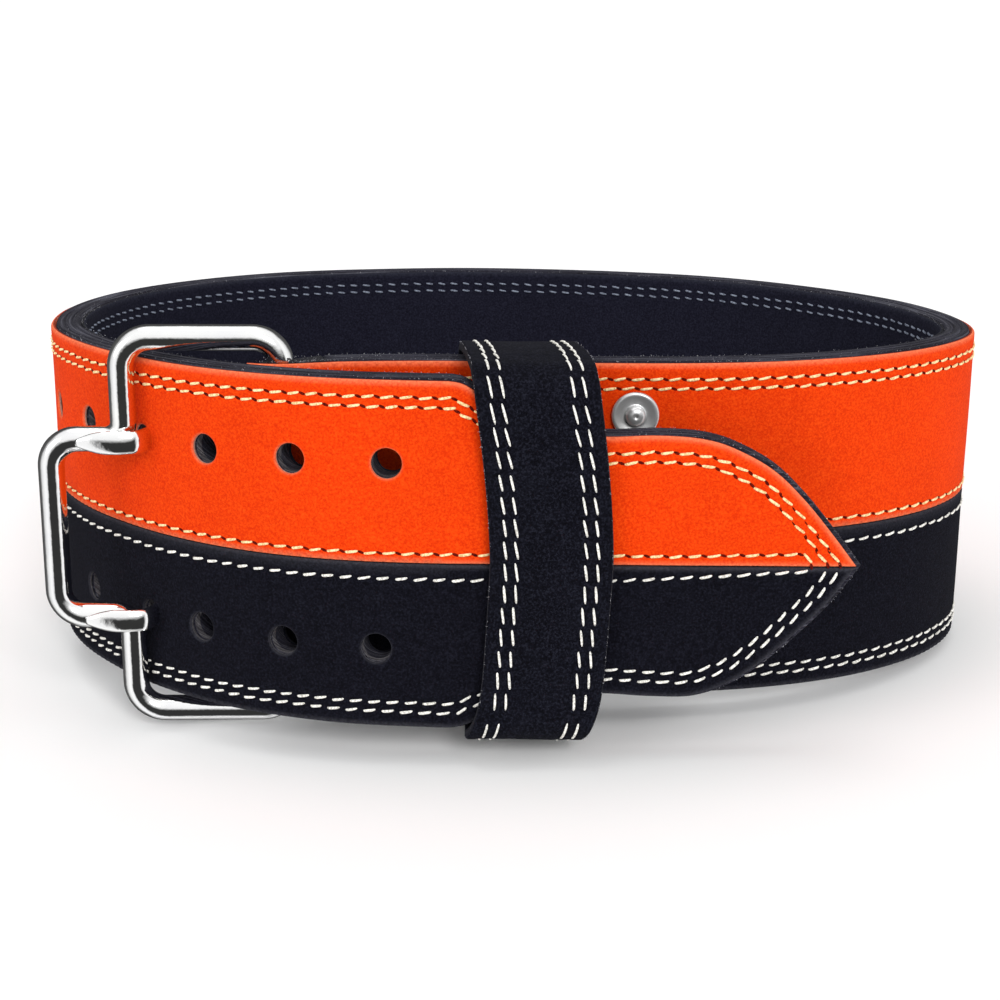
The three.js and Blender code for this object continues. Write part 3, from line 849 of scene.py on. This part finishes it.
class Stitches:
    """Many stitches gathered into one mesh, with dark discs of painted shade in the dents between them in
    another.
    """

    def __init__(self):
        self.points, self.faces, self.total = [], [], 0
        self.pits, self.pit_faces, self.dent_shade_total = [], [], 0

    def sew(self, row, surface, slant, pitch=STITCH_PITCH, fill=0.76, wide=THREAD, pits=True):
        """row is a line of (along, across) places; surface turns (along, across, lift) into points."""
        run = np.r_[0, np.cumsum(np.linalg.norm(np.diff(row, axis=0), axis=1))]
        count = int(run[-1] // pitch)
        step = run[-1] / count

        def at(distance):
            return np.stack([np.interp(distance, run, row[:, k]) for k in (0, 1)], 1)

        middle = (np.arange(count) + 0.5) * step
        way = at(middle + 1) - at(middle - 1)
        way /= np.linalg.norm(way, axis=1)[:, None]
        side = np.stack([-way[:, 1], way[:, 0]], 1)
        tilt = np.radians(slant + noise.uniform(-2.5, 2.5, count))[:, None]
        direction = way * np.cos(tilt) + side * np.sin(tilt)
        cross = np.stack([-direction[:, 1], direction[:, 0]], 1)
        reach = step * fill / 2 * noise.uniform(0.92, 1.06, count)
        thick = wide * noise.uniform(0.92, 1.06, count)
        here = at(middle) + side * noise.uniform(-0.1, 0.1, count)[:, None]
        sides, rings = 7, 8
        t = np.linspace(-1, 1, rings)
        angle = 2 * math.pi * np.arange(sides) / sides
        girth = np.sqrt(np.clip(1 - np.abs(t) ** 4 * 0.85, 0.05, 1)) / 2
        lift = 0.42 - 0.75 * np.abs(t) ** 4
        flat = here[:, None] + direction[:, None] * (t[None] * reach[:, None])[..., None]
        wide_off = (np.cos(angle)[None] * girth[:, None])[None] * thick[:, None, None]
        places = flat[:, :, None] + wide_off[..., None] * cross[:, None, None]
        heights = thick[:, None, None] * (lift[:, None] + np.sin(angle)[None] * girth[:, None] * 0.85)[None]
        self.points.append(surface(places[..., 0].ravel(), places[..., 1].ravel(), heights.ravel()))
        one = tube_rings(rings, sides)
        for i in range(count):
            first = self.total + i * rings * sides
            self.faces += [tuple(v + first for v in f) for f in one]
        self.total += count * rings * sides
        # pits lays dark discs of painted shade in the dents between stitches.
        if pits:
            self.paint_dent_shade(at(middle + step / 2), way, side, step * (1 - fill) / 2, slant, surface)

    def paint_dent_shade(self, here, way, side, half, slant, surface):
        """Painted shade: a dark disc laid on the surface where the thread dips into the leather from one
        stitch to the next.
        """
        fall = math.radians(-2.2 * slant)
        direction = way * math.cos(fall) + side * math.sin(fall)
        cross = np.stack([-direction[:, 1], direction[:, 0]], 1)
        corners = 10
        angle = 2 * math.pi * np.arange(corners) / corners
        ring = np.cos(angle)[None, :, None] * direction[:, None] * (half + 0.35)
        ring = here[:, None] + ring + np.sin(angle)[None, :, None] * cross[:, None] * 0.42
        flat = np.concatenate([ring, here[:, None]], 1)
        lift = np.broadcast_to(np.r_[np.full(corners, 0.03), 0.05], flat.shape[:2])
        self.pits.append(surface(flat[..., 0].ravel(), flat[..., 1].ravel(), lift.ravel()))
        for i in range(len(here)):
            first = self.dent_shade_total + i * (corners + 1)
            self.pit_faces += [
                (first + k, first + (k + 1) % corners, first + corners) for k in range(corners)
            ]
        self.dent_shade_total += len(here) * (corners + 1)

    def make(self, name, material, slot):
        piece(name, np.concatenate(self.points), self.faces, [material], slot)

    def make_dent_shades(self, name, material, slot):
        piece(name, np.concatenate(self.pits), self.pit_faces, [material], slot, smooth=False)


def fibres(name, start, way, slot, long=1.0, wide=0.1):
    """Loose fibres that stand off a cut edge, each a small bent sliver."""
    count = len(start)
    way = way + noise.normal(0, 0.75, (count, 3))
    way /= np.linalg.norm(way, axis=1)[:, None]
    across = np.cross(way, noise.normal(0, 1, (count, 3)))
    across /= np.linalg.norm(across, axis=1)[:, None]
    bend = np.cross(way, across) * noise.uniform(0.1, 0.5, count)[:, None]
    reach = (long * noise.uniform(0.4, 1.2, count))[:, None]
    rows = []
    for t, share in ((-0.15, 1.0), (0.5, 0.8), (1.0, 0.25)):
        centre = start + (way * t + bend * t * t) * reach
        rows += [centre - across * wide * share / 2, centre + across * wide * share / 2]
    points = np.stack(rows, 1).reshape(-1, 3)
    faces = []
    for i in range(count):
        k = i * 6
        faces += [(k, k + 1, k + 3, k + 2), (k + 2, k + 3, k + 5, k + 4)]
    piece(name, points, faces, [FIBRE], slot)


def strap_fibres():
    """Fuzz on the strap's upper rim, and thinner on the tongue's point and its lower rim."""
    count = 2600
    s = np.r_[
        noise.uniform(2, LENGTH, 1500),
        noise.uniform(LENGTH - 270, LENGTH - 1, 500),
        noise.uniform(2, 150, 600),
    ]
    depth = FACING + noise.uniform(0, 1, count) ** 2 * (GAP + CORE + 0.6)
    behind = noise.uniform(0, 1, count) < 0.35
    depth = np.where(behind, THICK - (depth - FACING) * 0.4, depth)
    start = strap(s, depth, top_edge(s, 0.0) - 0.25)
    fibres("upper_rim_fibres", start, np.tile((0.0, 0.0, 1.0), (count, 1)), "core_leather", 0.42)
    s = noise.uniform(LENGTH - 120, LENGTH - 0.5, 260)
    start = strap(s, FACING + noise.uniform(0, 2, 260), bottom_edge(s) + 0.2)
    fibres("lower_rim_fibres", start, np.tile((0.2, -0.4, -0.8), (260, 1)), "core_leather", 0.45)


def on_face(relief):
    def surface(s, z, lift):
        return strap(s, relief(np.stack([s, z], 1)) - lift, z)

    return surface


def on_lining(s, z, lift):
    return strap(s, THICK + lift, z)


def cream_row():
    """Above the split, turning down to it short of the tip."""
    s = np.r_[np.linspace(4.0, LENGTH - 16.5, 900), LENGTH - 15.3, LENGTH - 14.3, LENGTH - 13.9]
    z = SPLIT + SPLIT_SEAM_ABOVE + 0.9 * np.clip((s - LENGTH + 50) / 34, 0, 1)
    z[-3:] = SPLIT + np.array([3.6, 1.8, 0.5])
    return np.stack([s, z], 1)


def white_row():
    """Below the split, closing in on it towards the tip."""
    s = np.linspace(4.0, LENGTH - 14.0, 900)
    return np.stack([s, SPLIT - SPLIT_SEAM_BELOW + 3.4 * np.clip((s - LENGTH + 70) / 56, 0, 1)], 1)


def strap_stitching():
    orange, black, inner = Stitches(), Stitches(), Stitches()
    for number, inset in enumerate(SEAMS):
        start = 4.0 + number * 2.6
        upper = offset_row(lambda s: top_edge(s, EDGE), inset, start, LENGTH, -1)
        orange.sew(upper[upper[:, 1] > SPLIT + 0.6], on_face(orange_relief), 9)
        lower = offset_row(lambda s: bottom_edge(s, EDGE), inset, start, LENGTH, 1)
        black.sew(lower[lower[:, 1] < SPLIT - 0.4], on_face(black_relief), 9, pits=False)
        for z in (inset + EDGE, WIDTH - EDGE - inset):
            s = np.linspace(CORE_START + 3, LENGTH - TONGUE_POINT, 800)
            inner.sew(np.stack([s, np.full(800, z)], 1), on_lining, 9, fill=0.62, wide=0.72, pits=False)
    orange.sew(cream_row(), on_face(orange_relief), 9)
    black.sew(white_row(), on_face(black_relief), 9, pits=False)
    orange.make("orange_stitching", CREAM, "orange_suede")
    # Dark discs of painted shade in the dents between the orange stitches.
    orange.make_dent_shades("orange_stitch_dent_shade", STITCH_DENT_SHADE, "orange_suede")
    black.make("black_stitching", WHITE, "black_suede")
    inner.make("inner_stitching", GREY, "lining_suede")


# Buckle


def rounded_loop(corners, steps):
    """A flat loop with rounded corners, as points and the direction along each."""
    out = []
    for i, (u, v, radius) in enumerate(corners):
        here = np.array([u, v])
        back = np.array(corners[i - 1][:2]) - here
        on = np.array(corners[(i + 1) % len(corners)][:2]) - here
        back, on = back / np.linalg.norm(back), on / np.linalg.norm(on)
        half = math.acos(np.clip(back @ on, -1, 1)) / 2
        middle = back + on
        centre = here + middle / np.linalg.norm(middle) * radius / math.sin(half)
        start = here + back * radius / math.tan(half) - centre
        end = here + on * radius / math.tan(half) - centre
        a0 = math.atan2(start[1], start[0])
        sweep = (math.atan2(end[1], end[0]) - a0 + math.pi) % (2 * math.pi) - math.pi
        for j in range(steps + 1):
            a = a0 + sweep * j / steps
            out.append(centre + radius * np.array([math.cos(a), math.sin(a)]))
    return np.array(out)


def spaced_loop(points, most):
    """The same loop with no stretch longer than most."""
    out = []
    for i, p in enumerate(points):
        q = points[(i + 1) % len(points)]
        parts = max(1, int(np.linalg.norm(q - p) / most))
        out += [p + (q - p) * j / parts for j in range(parts)]
    return np.array(out)


def buckle_frame():
    hw, hn = FRAME_HALF_WIDE, HOLE_ROW
    corners = [
        (0, -hw, 8),
        (0, hw, 8),
        (FRAME_TO_STEP, hw, 8.5),
        (FRAME_TO_STEP, hn, 5),
        (FRAME_REACH, hn, 8),
        (FRAME_REACH, -hn, 8),
        (FRAME_TO_STEP, -hn, 5),
        (FRAME_TO_STEP, -hw, 8.5),
    ]
    loop = spaced_loop(rounded_loop(corners, 14), 2.5)
    sides = 28
    points = []
    for i, p in enumerate(loop):
        along = loop[(i + 1) % len(loop)] - loop[i - 1]
        along /= np.linalg.norm(along)
        wobble = 1 + 0.006 * math.sin(i * 0.37)
        for j in range(sides):
            a = 2 * math.pi * j / sides
            side = math.cos(a) * WIRE / 2 * wobble
            points.append(in_frame(p[0] - along[1] * side, p[1] + along[0] * side, math.sin(a) * WIRE / 2))
    faces = outward(points, tube_rings(len(loop), sides, closed=True))
    piece("buckle_frame_wire", points, faces, [CHROME], "buckle_steel", ["buckle_frame"])


def prong_course():
    behind = THICK + PRONG_THICK / 2 + 0.9
    w = step_wire[:2]
    rows = [
        (bar[0] - WIRE / 2 - 1.6, bar[1] + 0.5),
        strap(prong_station + 20, behind + 0.8, 0)[:2],
        strap(prong_station + 11, behind + 1.6, 0)[:2],
        strap(prong_station + 4.4, THICK + 4.2, 0)[:2],
        strap(prong_station + 0.9, THICK + 1.2, 0)[:2],
        strap(prong_station + 0.1, THICK * 0.6, 0)[:2],
        strap(prong_station + 0.3, 1.6, 0)[:2],
        (w[0] + hug + 0.5, w[1] - 0.3),
        (w[0] + hug * 0.72 + 0.3, w[1] - hug * 0.72 - 0.2),
        (w[0], w[1] - hug),
        (w[0] - 6, w[1] - hug - 0.1),
        (w[0] - 12.5, w[1] - hug),
    ]
    return evenly(smooth_path(rows), 90)[0]


def prong(name, z, node):
    line = prong_course()
    sides = 24
    points = []
    way = np.gradient(line, axis=0)
    way /= np.linalg.norm(way, axis=1)[:, None]
    for i, p in enumerate(line):
        t = i / (len(line) - 1)
        taper = 1 if t < 0.86 else 1 - 0.7 * ((t - 0.86) / 0.14) ** 1.8
        for j in range(sides):
            a = 2 * math.pi * j / sides
            side = math.cos(a) * PRONG_THICK / 2 * taper
            height = math.sin(a) * (PRONG_WIDE / 2 - 0.2) * taper
            points.append((p[0] - way[i, 1] * side, p[1] + way[i, 0] * side, z + height))
    faces = outward(points, tube_rings(len(line), sides))
    first = len(points)
    eye = []
    profile = [(WIRE / 2 + GAP, -0.5), (WIRE / 2 + FOLD_WALL - 0.5, -0.5), (WIRE / 2 + FOLD_WALL, -0.36)]
    profile += [(r, -h) for r, h in profile[::-1]]
    corners = 40
    for k in range(corners):
        a = 2 * math.pi * k / corners
        eye += [(bar[0] + r * math.cos(a), bar[1] + r * math.sin(a), z + h * PRONG_WIDE) for r, h in profile]
    ring_faces = outward(eye, tube_rings(corners, len(profile), closed=True))
    faces = faces + [tuple(v + first for v in f) for f in ring_faces]
    piece(name, points + eye, faces, [CHROME], "buckle_steel", [node])


def buckle_fold():
    """Leather round the bar: the plan outline stacked up, with slots where the prongs' eyes sit."""
    front = [strap(s, FACING + GAP + 0.05, 0)[:2] for s in np.arange(2, CORE_START - GAP, 1.0)]
    front.append(strap(CORE_START - GAP, FACING + GAP + 0.05, 0)[:2])
    rear = [strap(CORE_START - GAP, THICK, 0)[:2]]
    radius = WIRE / 2 + GAP + FOLD_WALL
    for k in range(25):
        a = math.pi * (0.42 + 0.6 * k / 24)
        rear.append(np.array([bar[0] + math.cos(a) * radius, bar[1] + math.sin(a) * radius]))
    outer = np.array(front + rear)
    bore = WIRE / 2 + GAP + 0.1
    ring = np.array([
        (bar[0] + math.cos(a) * bore, bar[1] + math.sin(a) * bore)
        for a in np.linspace(0, 2 * math.pi, 40, endpoint=False)
    ])
    half = PRONG_WIDE / 2 + GAP + 0.2
    lows = [FOLD_LOW, MIDDLE - HOLE_ROW + half, MIDDLE + HOLE_ROW + half]
    highs = [MIDDLE - HOLE_ROW - half, MIDDLE + HOLE_ROW - half, WIDTH - FOLD_LOW]
    points, faces = [], []
    flat = np.concatenate([outer, ring])
    edges = [(i, (i + 1) % len(outer)) for i in range(len(outer))]
    edges += [(len(outer) + i, len(outer) + (i + 1) % len(ring)) for i in range(len(ring))]
    verts, _, caps, _, _, _ = delaunay_2d_cdt([Vector(p) for p in flat], edges, [], 1, 1e-5)
    plan = np.array([tuple(v) for v in verts])
    centre = bar[:2]
    caps = [tuple(f) for f in caps if np.linalg.norm(plan[list(f)].mean(0) - centre) > WIRE / 2 + GAP]

    def slab(low, high):
        base = len(points)
        steps = [(low, 0.5), (low + 0.4, 0.0), (high - 0.4, 0.0), (high, 0.5)]
        middle_of = outer.mean(0)
        for z, trim in steps:
            for p in plan:
                pull = (middle_of - p) / (np.linalg.norm(middle_of - p) + 1e-6)
                q = p + pull * trim * (np.linalg.norm(p - centre) > WIRE / 2 + 1)
                rise = (FOLD_LOW - 0.4) * np.clip((q[0] - bar[0] - radius) / 2.5, 0, 1)
                points.append((q[0], q[1], z + rise * (int(z > WIDTH - 4) - int(z < 4))))
        n = len(plan)
        for f in caps:
            faces.append(tuple(base + 3 * n + i for i in f))
            faces.append(tuple(base + i for i in f[::-1]))
        for loop_start, size, flip in ((0, len(outer), False), (len(outer), len(ring), True)):
            for level in range(3):
                for i in range(size):
                    a, b = loop_start + i, loop_start + (i + 1) % size
                    here, above = base + level * n, base + (level + 1) * n
                    quad = (here + a, here + b, above + b, above + a)
                    faces.append(quad[::-1] if flip else quad)

    for low, high in zip(lows, highs):
        slab(low, high)
    piece(
        "buckle_fold_leather", points, outward(points, faces), [FOLD_LEATHER], "fold_leather",
        ["buckle_fold"], smooth=False,
    )


# Keeper


def keeper_frame():
    """The keeper's path in its own plane, and how deep its back lies."""
    keeper_station = station_at(KEEPER_LEFT + KEEPER_WIDTH / 2, 30)
    back = strap(keeper_station, THICK, 0)[1] + 1.2 + KEEPER_GAP
    g = -KEEPER_GAP
    front = g - 1.1
    loop = rounded_loop([(front, g, 6), (back, g, 3.4), (back, WIDTH - g, 3.4), (front, WIDTH - g, 6)], 12)
    loop = spaced_loop(loop, 1.6)
    over = np.clip((loop[:, 0] - front) / (back - front), 0, 1)
    loop[:, 1] += 1.5 * np.sin(math.pi * over) * (loop[:, 1] > WIDTH - 4)
    loop[:, 0] += 1.1 * np.clip((loop[:, 1] - WIDTH + 13) / 13, 0, 1) ** 2 * (over < 0.3)
    return loop, back


def keeper_left(y, z, back):
    frontness = np.clip(1 - y / back, 0, 1)
    rise = (z - MIDDLE) / MIDDLE
    up = np.clip(rise, 0, 1)
    down = np.clip(-rise, 0, 1)
    bow = (KEEPER_BOW - 4.9 * up**1.6 - 3.0 * down**1.2 - 3.8 * down**10) * frontness**3
    return KEEPER_LEFT + KEEPER_TWIST * frontness + bow


def keeper():
    loop, back = keeper_frame()
    along = np.roll(loop, -1, 0) - np.roll(loop, 1, 0)
    along /= np.linalg.norm(along, axis=1)[:, None]
    out = np.stack([along[:, 1], -along[:, 0]], 1)
    run = np.r_[0, np.cumsum(np.linalg.norm(np.diff(loop, axis=0), axis=1))]
    soft = 1.0
    section = []
    for x in (0.0, 0.25, 0.8, 1.6, 2.8, 3.8, 4.3, 4.9, 6.4, 7.2, 7.9, 9.5, 13.0):
        section.append((x, KEEPER_WALL - rounding(np.array([x]), soft)[0]))
    mirrored = [(KEEPER_WIDTH - x, h) for x, h in section[::-1]]
    section = section + [(KEEPER_WIDTH / 2, KEEPER_WALL)] + mirrored
    dips = (KEEPER_SEAMS[0], KEEPER_SEAMS[1], KEEPER_WIDTH - KEEPER_SEAMS[0], KEEPER_WIDTH - KEEPER_SEAMS[1])
    section = [(x, h - sum(0.16 * math.exp(-(((x - d) / 0.8) ** 2)) for d in dips)) for x, h in section]
    under = [(KEEPER_WIDTH, 0.3), (KEEPER_WIDTH - 0.3, 0.0), (0.3, 0.0), (0.0, 0.3)]
    section = section + under
    points, uv = [], []
    for i, (p, o) in enumerate(zip(loop, out)):
        left = keeper_left(p[0], p[1], back)
        for x, h in section:
            swell = 0.1 * math.sin(i * 0.23 + x * 0.21) if h > 1 else 0
            q = p + o * (h + swell - 0.1 * (h > 1))
            points.append((left + x, q[0], q[1]))
            uv.append((run[i], x + h))
    faces = outward(points, tube_rings(len(loop), len(section), closed=True))
    size = len(section)
    marks = []
    edge = {0, size - 1, size - 4, size - 5}
    for f in faces:
        sides = {v % size for v in f}
        marks.append(1 if sides <= edge | {1, size - 6} and len(sides & edge) > 0 else 0)
    piece(
        "keeper_leather", points, faces, [KEEPER_SUEDE, SUEDE_RIM], "keeper_suede", ["keeper_loop"], marks,
        uv=uv,
    )

    def surface(run_at, x, lift):
        at = np.mod(run_at, run[-1])
        y, z = (np.interp(at, run, loop[:, k]) for k in (0, 1))
        oy, oz = (np.interp(at, run, out[:, k]) for k in (0, 1))
        h = KEEPER_WALL - 0.18 + lift
        return np.stack([keeper_left(y, z, back) + x, y + oy * h, z + oz * h], -1)

    sewing = Stitches()
    for x in dips:
        length = run[-1] - 0.5
        row = np.stack([np.linspace(0, length, 700), np.full(700, x)], 1)
        sewing.sew(row, surface, 8, pitch=6.2, fill=0.84, wide=0.72, pits=False)
    sewing.make("keeper_stitching", WHITE, "keeper_suede")
    count = 420
    at = noise.uniform(0, run[-1], count)
    side = noise.integers(0, 2, count)
    start = surface(at, side * (KEEPER_WIDTH - 0.5) + 0.25, -0.15)
    way = surface(at, side * (KEEPER_WIDTH - 0.5) + 0.25, 0.85) - start
    way[:, 0] += side - 0.5
    fibres("keeper_fibres", start, way, "keeper_suede", 0.5)


# Rivets


def rivet(name, z, node):
    head = RIVET_RADIUS
    shank = SHANK / 2
    profile = [
        (0.001, -THICK - GAP - 1.2),
        (head - 1.6, -THICK - GAP - 1.2),
        (head - 1.0, -THICK - GAP - 1.0),
        (head - 0.8, -THICK - GAP - 0.5),
        (head - 0.9, -THICK - GAP),
        (shank, -THICK - GAP),
        (shank, 0.15),
        (head - 0.5, 0.15),
        (head - 0.1, 0.35),
        (head, 0.7),
        (head - 0.15, 1.15),
        (head - 0.6, 1.4),
        (head - 1.2, 1.32),
        (head - 2.2, 1.0),
        (head - 3.0, 0.8),
        (shank + 0.8, 0.75),
        (shank + 0.45, 0.85),
        (shank + 0.32, 1.3),
        (shank + 0.26, 2.0),
        (shank + 0.05, 2.55),
        (shank - 0.5, 2.95),
        (shank - 1.3, 3.15),
        (0.001, 3.2),
    ]
    centre = strap(rivet_station, 0, z)
    out = -inward(rivet_station)
    side = np.cross(out, (0, 0, 1))
    points = []
    corners = 56
    for k in range(corners):
        a = 2 * math.pi * k / corners
        rough = 1 + 0.02 * math.sin(3 * a + 1) + 0.012 * math.sin(7 * a)
        for r, h in profile:
            r2 = r * rough if h > 1.5 else r
            points.append(centre + out * h + (side * math.cos(a) + np.array([0, 0, 1]) * math.sin(a)) * r2)
    faces = outward(points, tube_rings(corners, len(profile), closed=True))
    piece(name, points, faces, [DULL], "rivet_steel", [node])


orange_facing()
black_facing()
strap_core()
inner_lining()
strap_stitching()
strap_fibres()
buckle_frame()
prong("prong_upper_pin", MIDDLE + HOLE_ROW, "prong_upper")
prong("prong_lower_pin", MIDDLE - HOLE_ROW, "prong_lower")
buckle_fold()
keeper()
rivet("rivet_upper_head", WIDTH - RIVET_FROM_EDGE, "rivet_upper")
rivet("rivet_lower_head", RIVET_FROM_EDGE, "rivet_lower")


# Stage, light and camera


def floor():
    n = Nodes("studio_white")
    n.set(Base_Color=(0.97, 0.97, 0.97, 1), Roughness=0.95, Specular_IOR_Level=0.0)
    mesh = bpy.data.meshes.new("studio_floor")
    r = 12.0
    mesh.from_pydata([(-r, -r, 0), (r, -r, 0), (r, r, 0), (-r, r, 0)], [], [(0, 1, 2, 3)])
    mesh.materials.append(n.material)
    obj = bpy.data.objects.new("studio_floor", mesh)
    obj.visible_glossy = False
    bpy.context.scene.collection.objects.link(obj)
    obj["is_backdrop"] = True


def sun(name, source, energy, angle):
    """Light from far off, out of the direction source."""
    data = bpy.data.lights.new(name, "SUN")
    data.energy = energy
    data.angle = math.radians(angle)
    obj = bpy.data.objects.new(name, data)
    obj.rotation_mode = "QUATERNION"
    obj.rotation_quaternion = (-Vector(source)).to_track_quat("-Z", "Y")
    bpy.context.scene.collection.objects.link(obj)


def world():
    """A white room. The steel mirrors one with a dark front and back and light sides and ceiling."""
    w = bpy.data.worlds.new("studio")
    w.use_nodes = True
    tree = w.node_tree
    plain = tree.nodes["Background"]
    place = tree.nodes.new("ShaderNodeTexCoord")

    def share(direction, level, stops):
        """A grey that depends on how far a ray points in a direction; level flattens the ray first."""
        flat = tree.nodes.new("ShaderNodeVectorMath")
        flat.operation = "MULTIPLY"
        flat.inputs[1].default_value = (1, 1, 0) if level else (1, 1, 1)
        tree.links.new(place.outputs["Generated"], flat.inputs[0])
        unit = tree.nodes.new("ShaderNodeVectorMath")
        unit.operation = "NORMALIZE"
        tree.links.new(flat.outputs["Vector"], unit.inputs[0])
        facing = tree.nodes.new("ShaderNodeVectorMath")
        facing.operation = "DOT_PRODUCT"
        facing.inputs[1].default_value = Vector(direction).normalized()
        tree.links.new(unit.outputs["Vector"], facing.inputs[0])
        spread = tree.nodes.new("ShaderNodeMapRange")
        spread.inputs["From Min"].default_value = -1
        tree.links.new(facing.outputs["Value"], spread.inputs["Value"])
        ramp = tree.nodes.new("ShaderNodeValToRGB")
        elements = ramp.color_ramp.elements
        while len(elements) < len(stops):
            elements.new(0.5)
        for element, (at, tone) in zip(elements, stops):
            element.position = (at + 1) / 2
            element.color = (tone, tone, tone, 1)
        tree.links.new(spread.outputs["Result"], ramp.inputs["Fac"])
        return ramp.outputs["Color"]

    def lighter(a, b):
        mix = tree.nodes.new("ShaderNodeMix")
        mix.data_type, mix.blend_type = "RGBA", "LIGHTEN"
        mix.inputs["Factor"].default_value = 1
        tree.links.new(a, mix.inputs["A"])
        tree.links.new(b, mix.inputs["B"])
        return mix.outputs["Result"]

    sky = share((0, 0, 1), False, ((-0.2, 1.0), (0.1, 1.0), (0.25, 0.68), (1.0, 0.68)))
    tree.links.new(sky, plain.inputs["Color"])
    plain.inputs["Strength"].default_value = 1.08
    across = ((-1, 0.05), (-0.35, 0.1), (0.0, 0.7), (0.5, 0.95), (0.74, 0.85), (0.85, 0.03))
    sides = share((0.2, -0.98, 0), True, across)
    ceiling = share((0, -0.45, 0.9), False, ((0.36, 0.0), (0.47, 0.3), (0.64, 0.85), (1.0, 0.95)))
    below = share((0, 0, -1), False, ((0.85, 0.0), (0.92, 0.45), (1.0, 0.5)))
    steel_room = tree.nodes.new("ShaderNodeBackground")
    tree.links.new(lighter(lighter(sides, ceiling), below), steel_room.inputs["Color"])
    steel_room.inputs["Strength"].default_value = 1.25
    rays = tree.nodes.new("ShaderNodeLightPath")
    both_rooms = tree.nodes.new("ShaderNodeMixShader")
    tree.links.new(rays.outputs["Is Glossy Ray"], both_rooms.inputs["Fac"])
    tree.links.new(plain.outputs["Background"], both_rooms.inputs[1])
    tree.links.new(steel_room.outputs["Background"], both_rooms.inputs[2])
    tree.links.new(both_rooms.outputs["Shader"], tree.nodes["World Output"].inputs["Surface"])
    bpy.context.scene.world = w


def camera():
    """The photograph's view: fitted to the strap's edges, in the belt's own space."""
    focal = 1700.0
    distance = 443.9
    height = 186.0
    pitch = math.radians(15.0)
    roll = math.radians(0.42)
    data = bpy.data.cameras.new("photo_camera")
    data.sensor_width = 36.0
    data.lens = 36.0 * focal / 1000
    data.clip_start, data.clip_end = 0.01, 60
    obj = bpy.data.objects.new("photo_camera", data)
    forward = Vector((0, math.cos(pitch), -math.sin(pitch)))
    right = Vector((1, 0, 0))
    above = right.cross(forward)
    basis = Matrix((right, above, -forward)).transposed()
    spun = basis @ Matrix.Rotation(roll, 3, "Z")
    obj.matrix_world = Matrix.LocRotScale(
        Vector(placed([0, -distance, height])[0]),
        (Matrix(lean.tolist()) @ spun).to_quaternion(),
        Vector((1, 1, 1)),
    )
    bpy.context.scene.collection.objects.link(obj)
    bpy.context.scene.camera = obj


bpy.context.scene.view_settings.view_transform = "Standard"
floor()
world()
sun("front", (0.3, -0.82, 0.5), 1.5, 22)
sun("left", (-0.75, -0.6, 0.4), 0.55, 30)
sun("top", (-0.15, 0.1, 1), 0.35, 30)
camera()

both = [[list(v) for v in corners] for corners in (cad_box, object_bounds())]
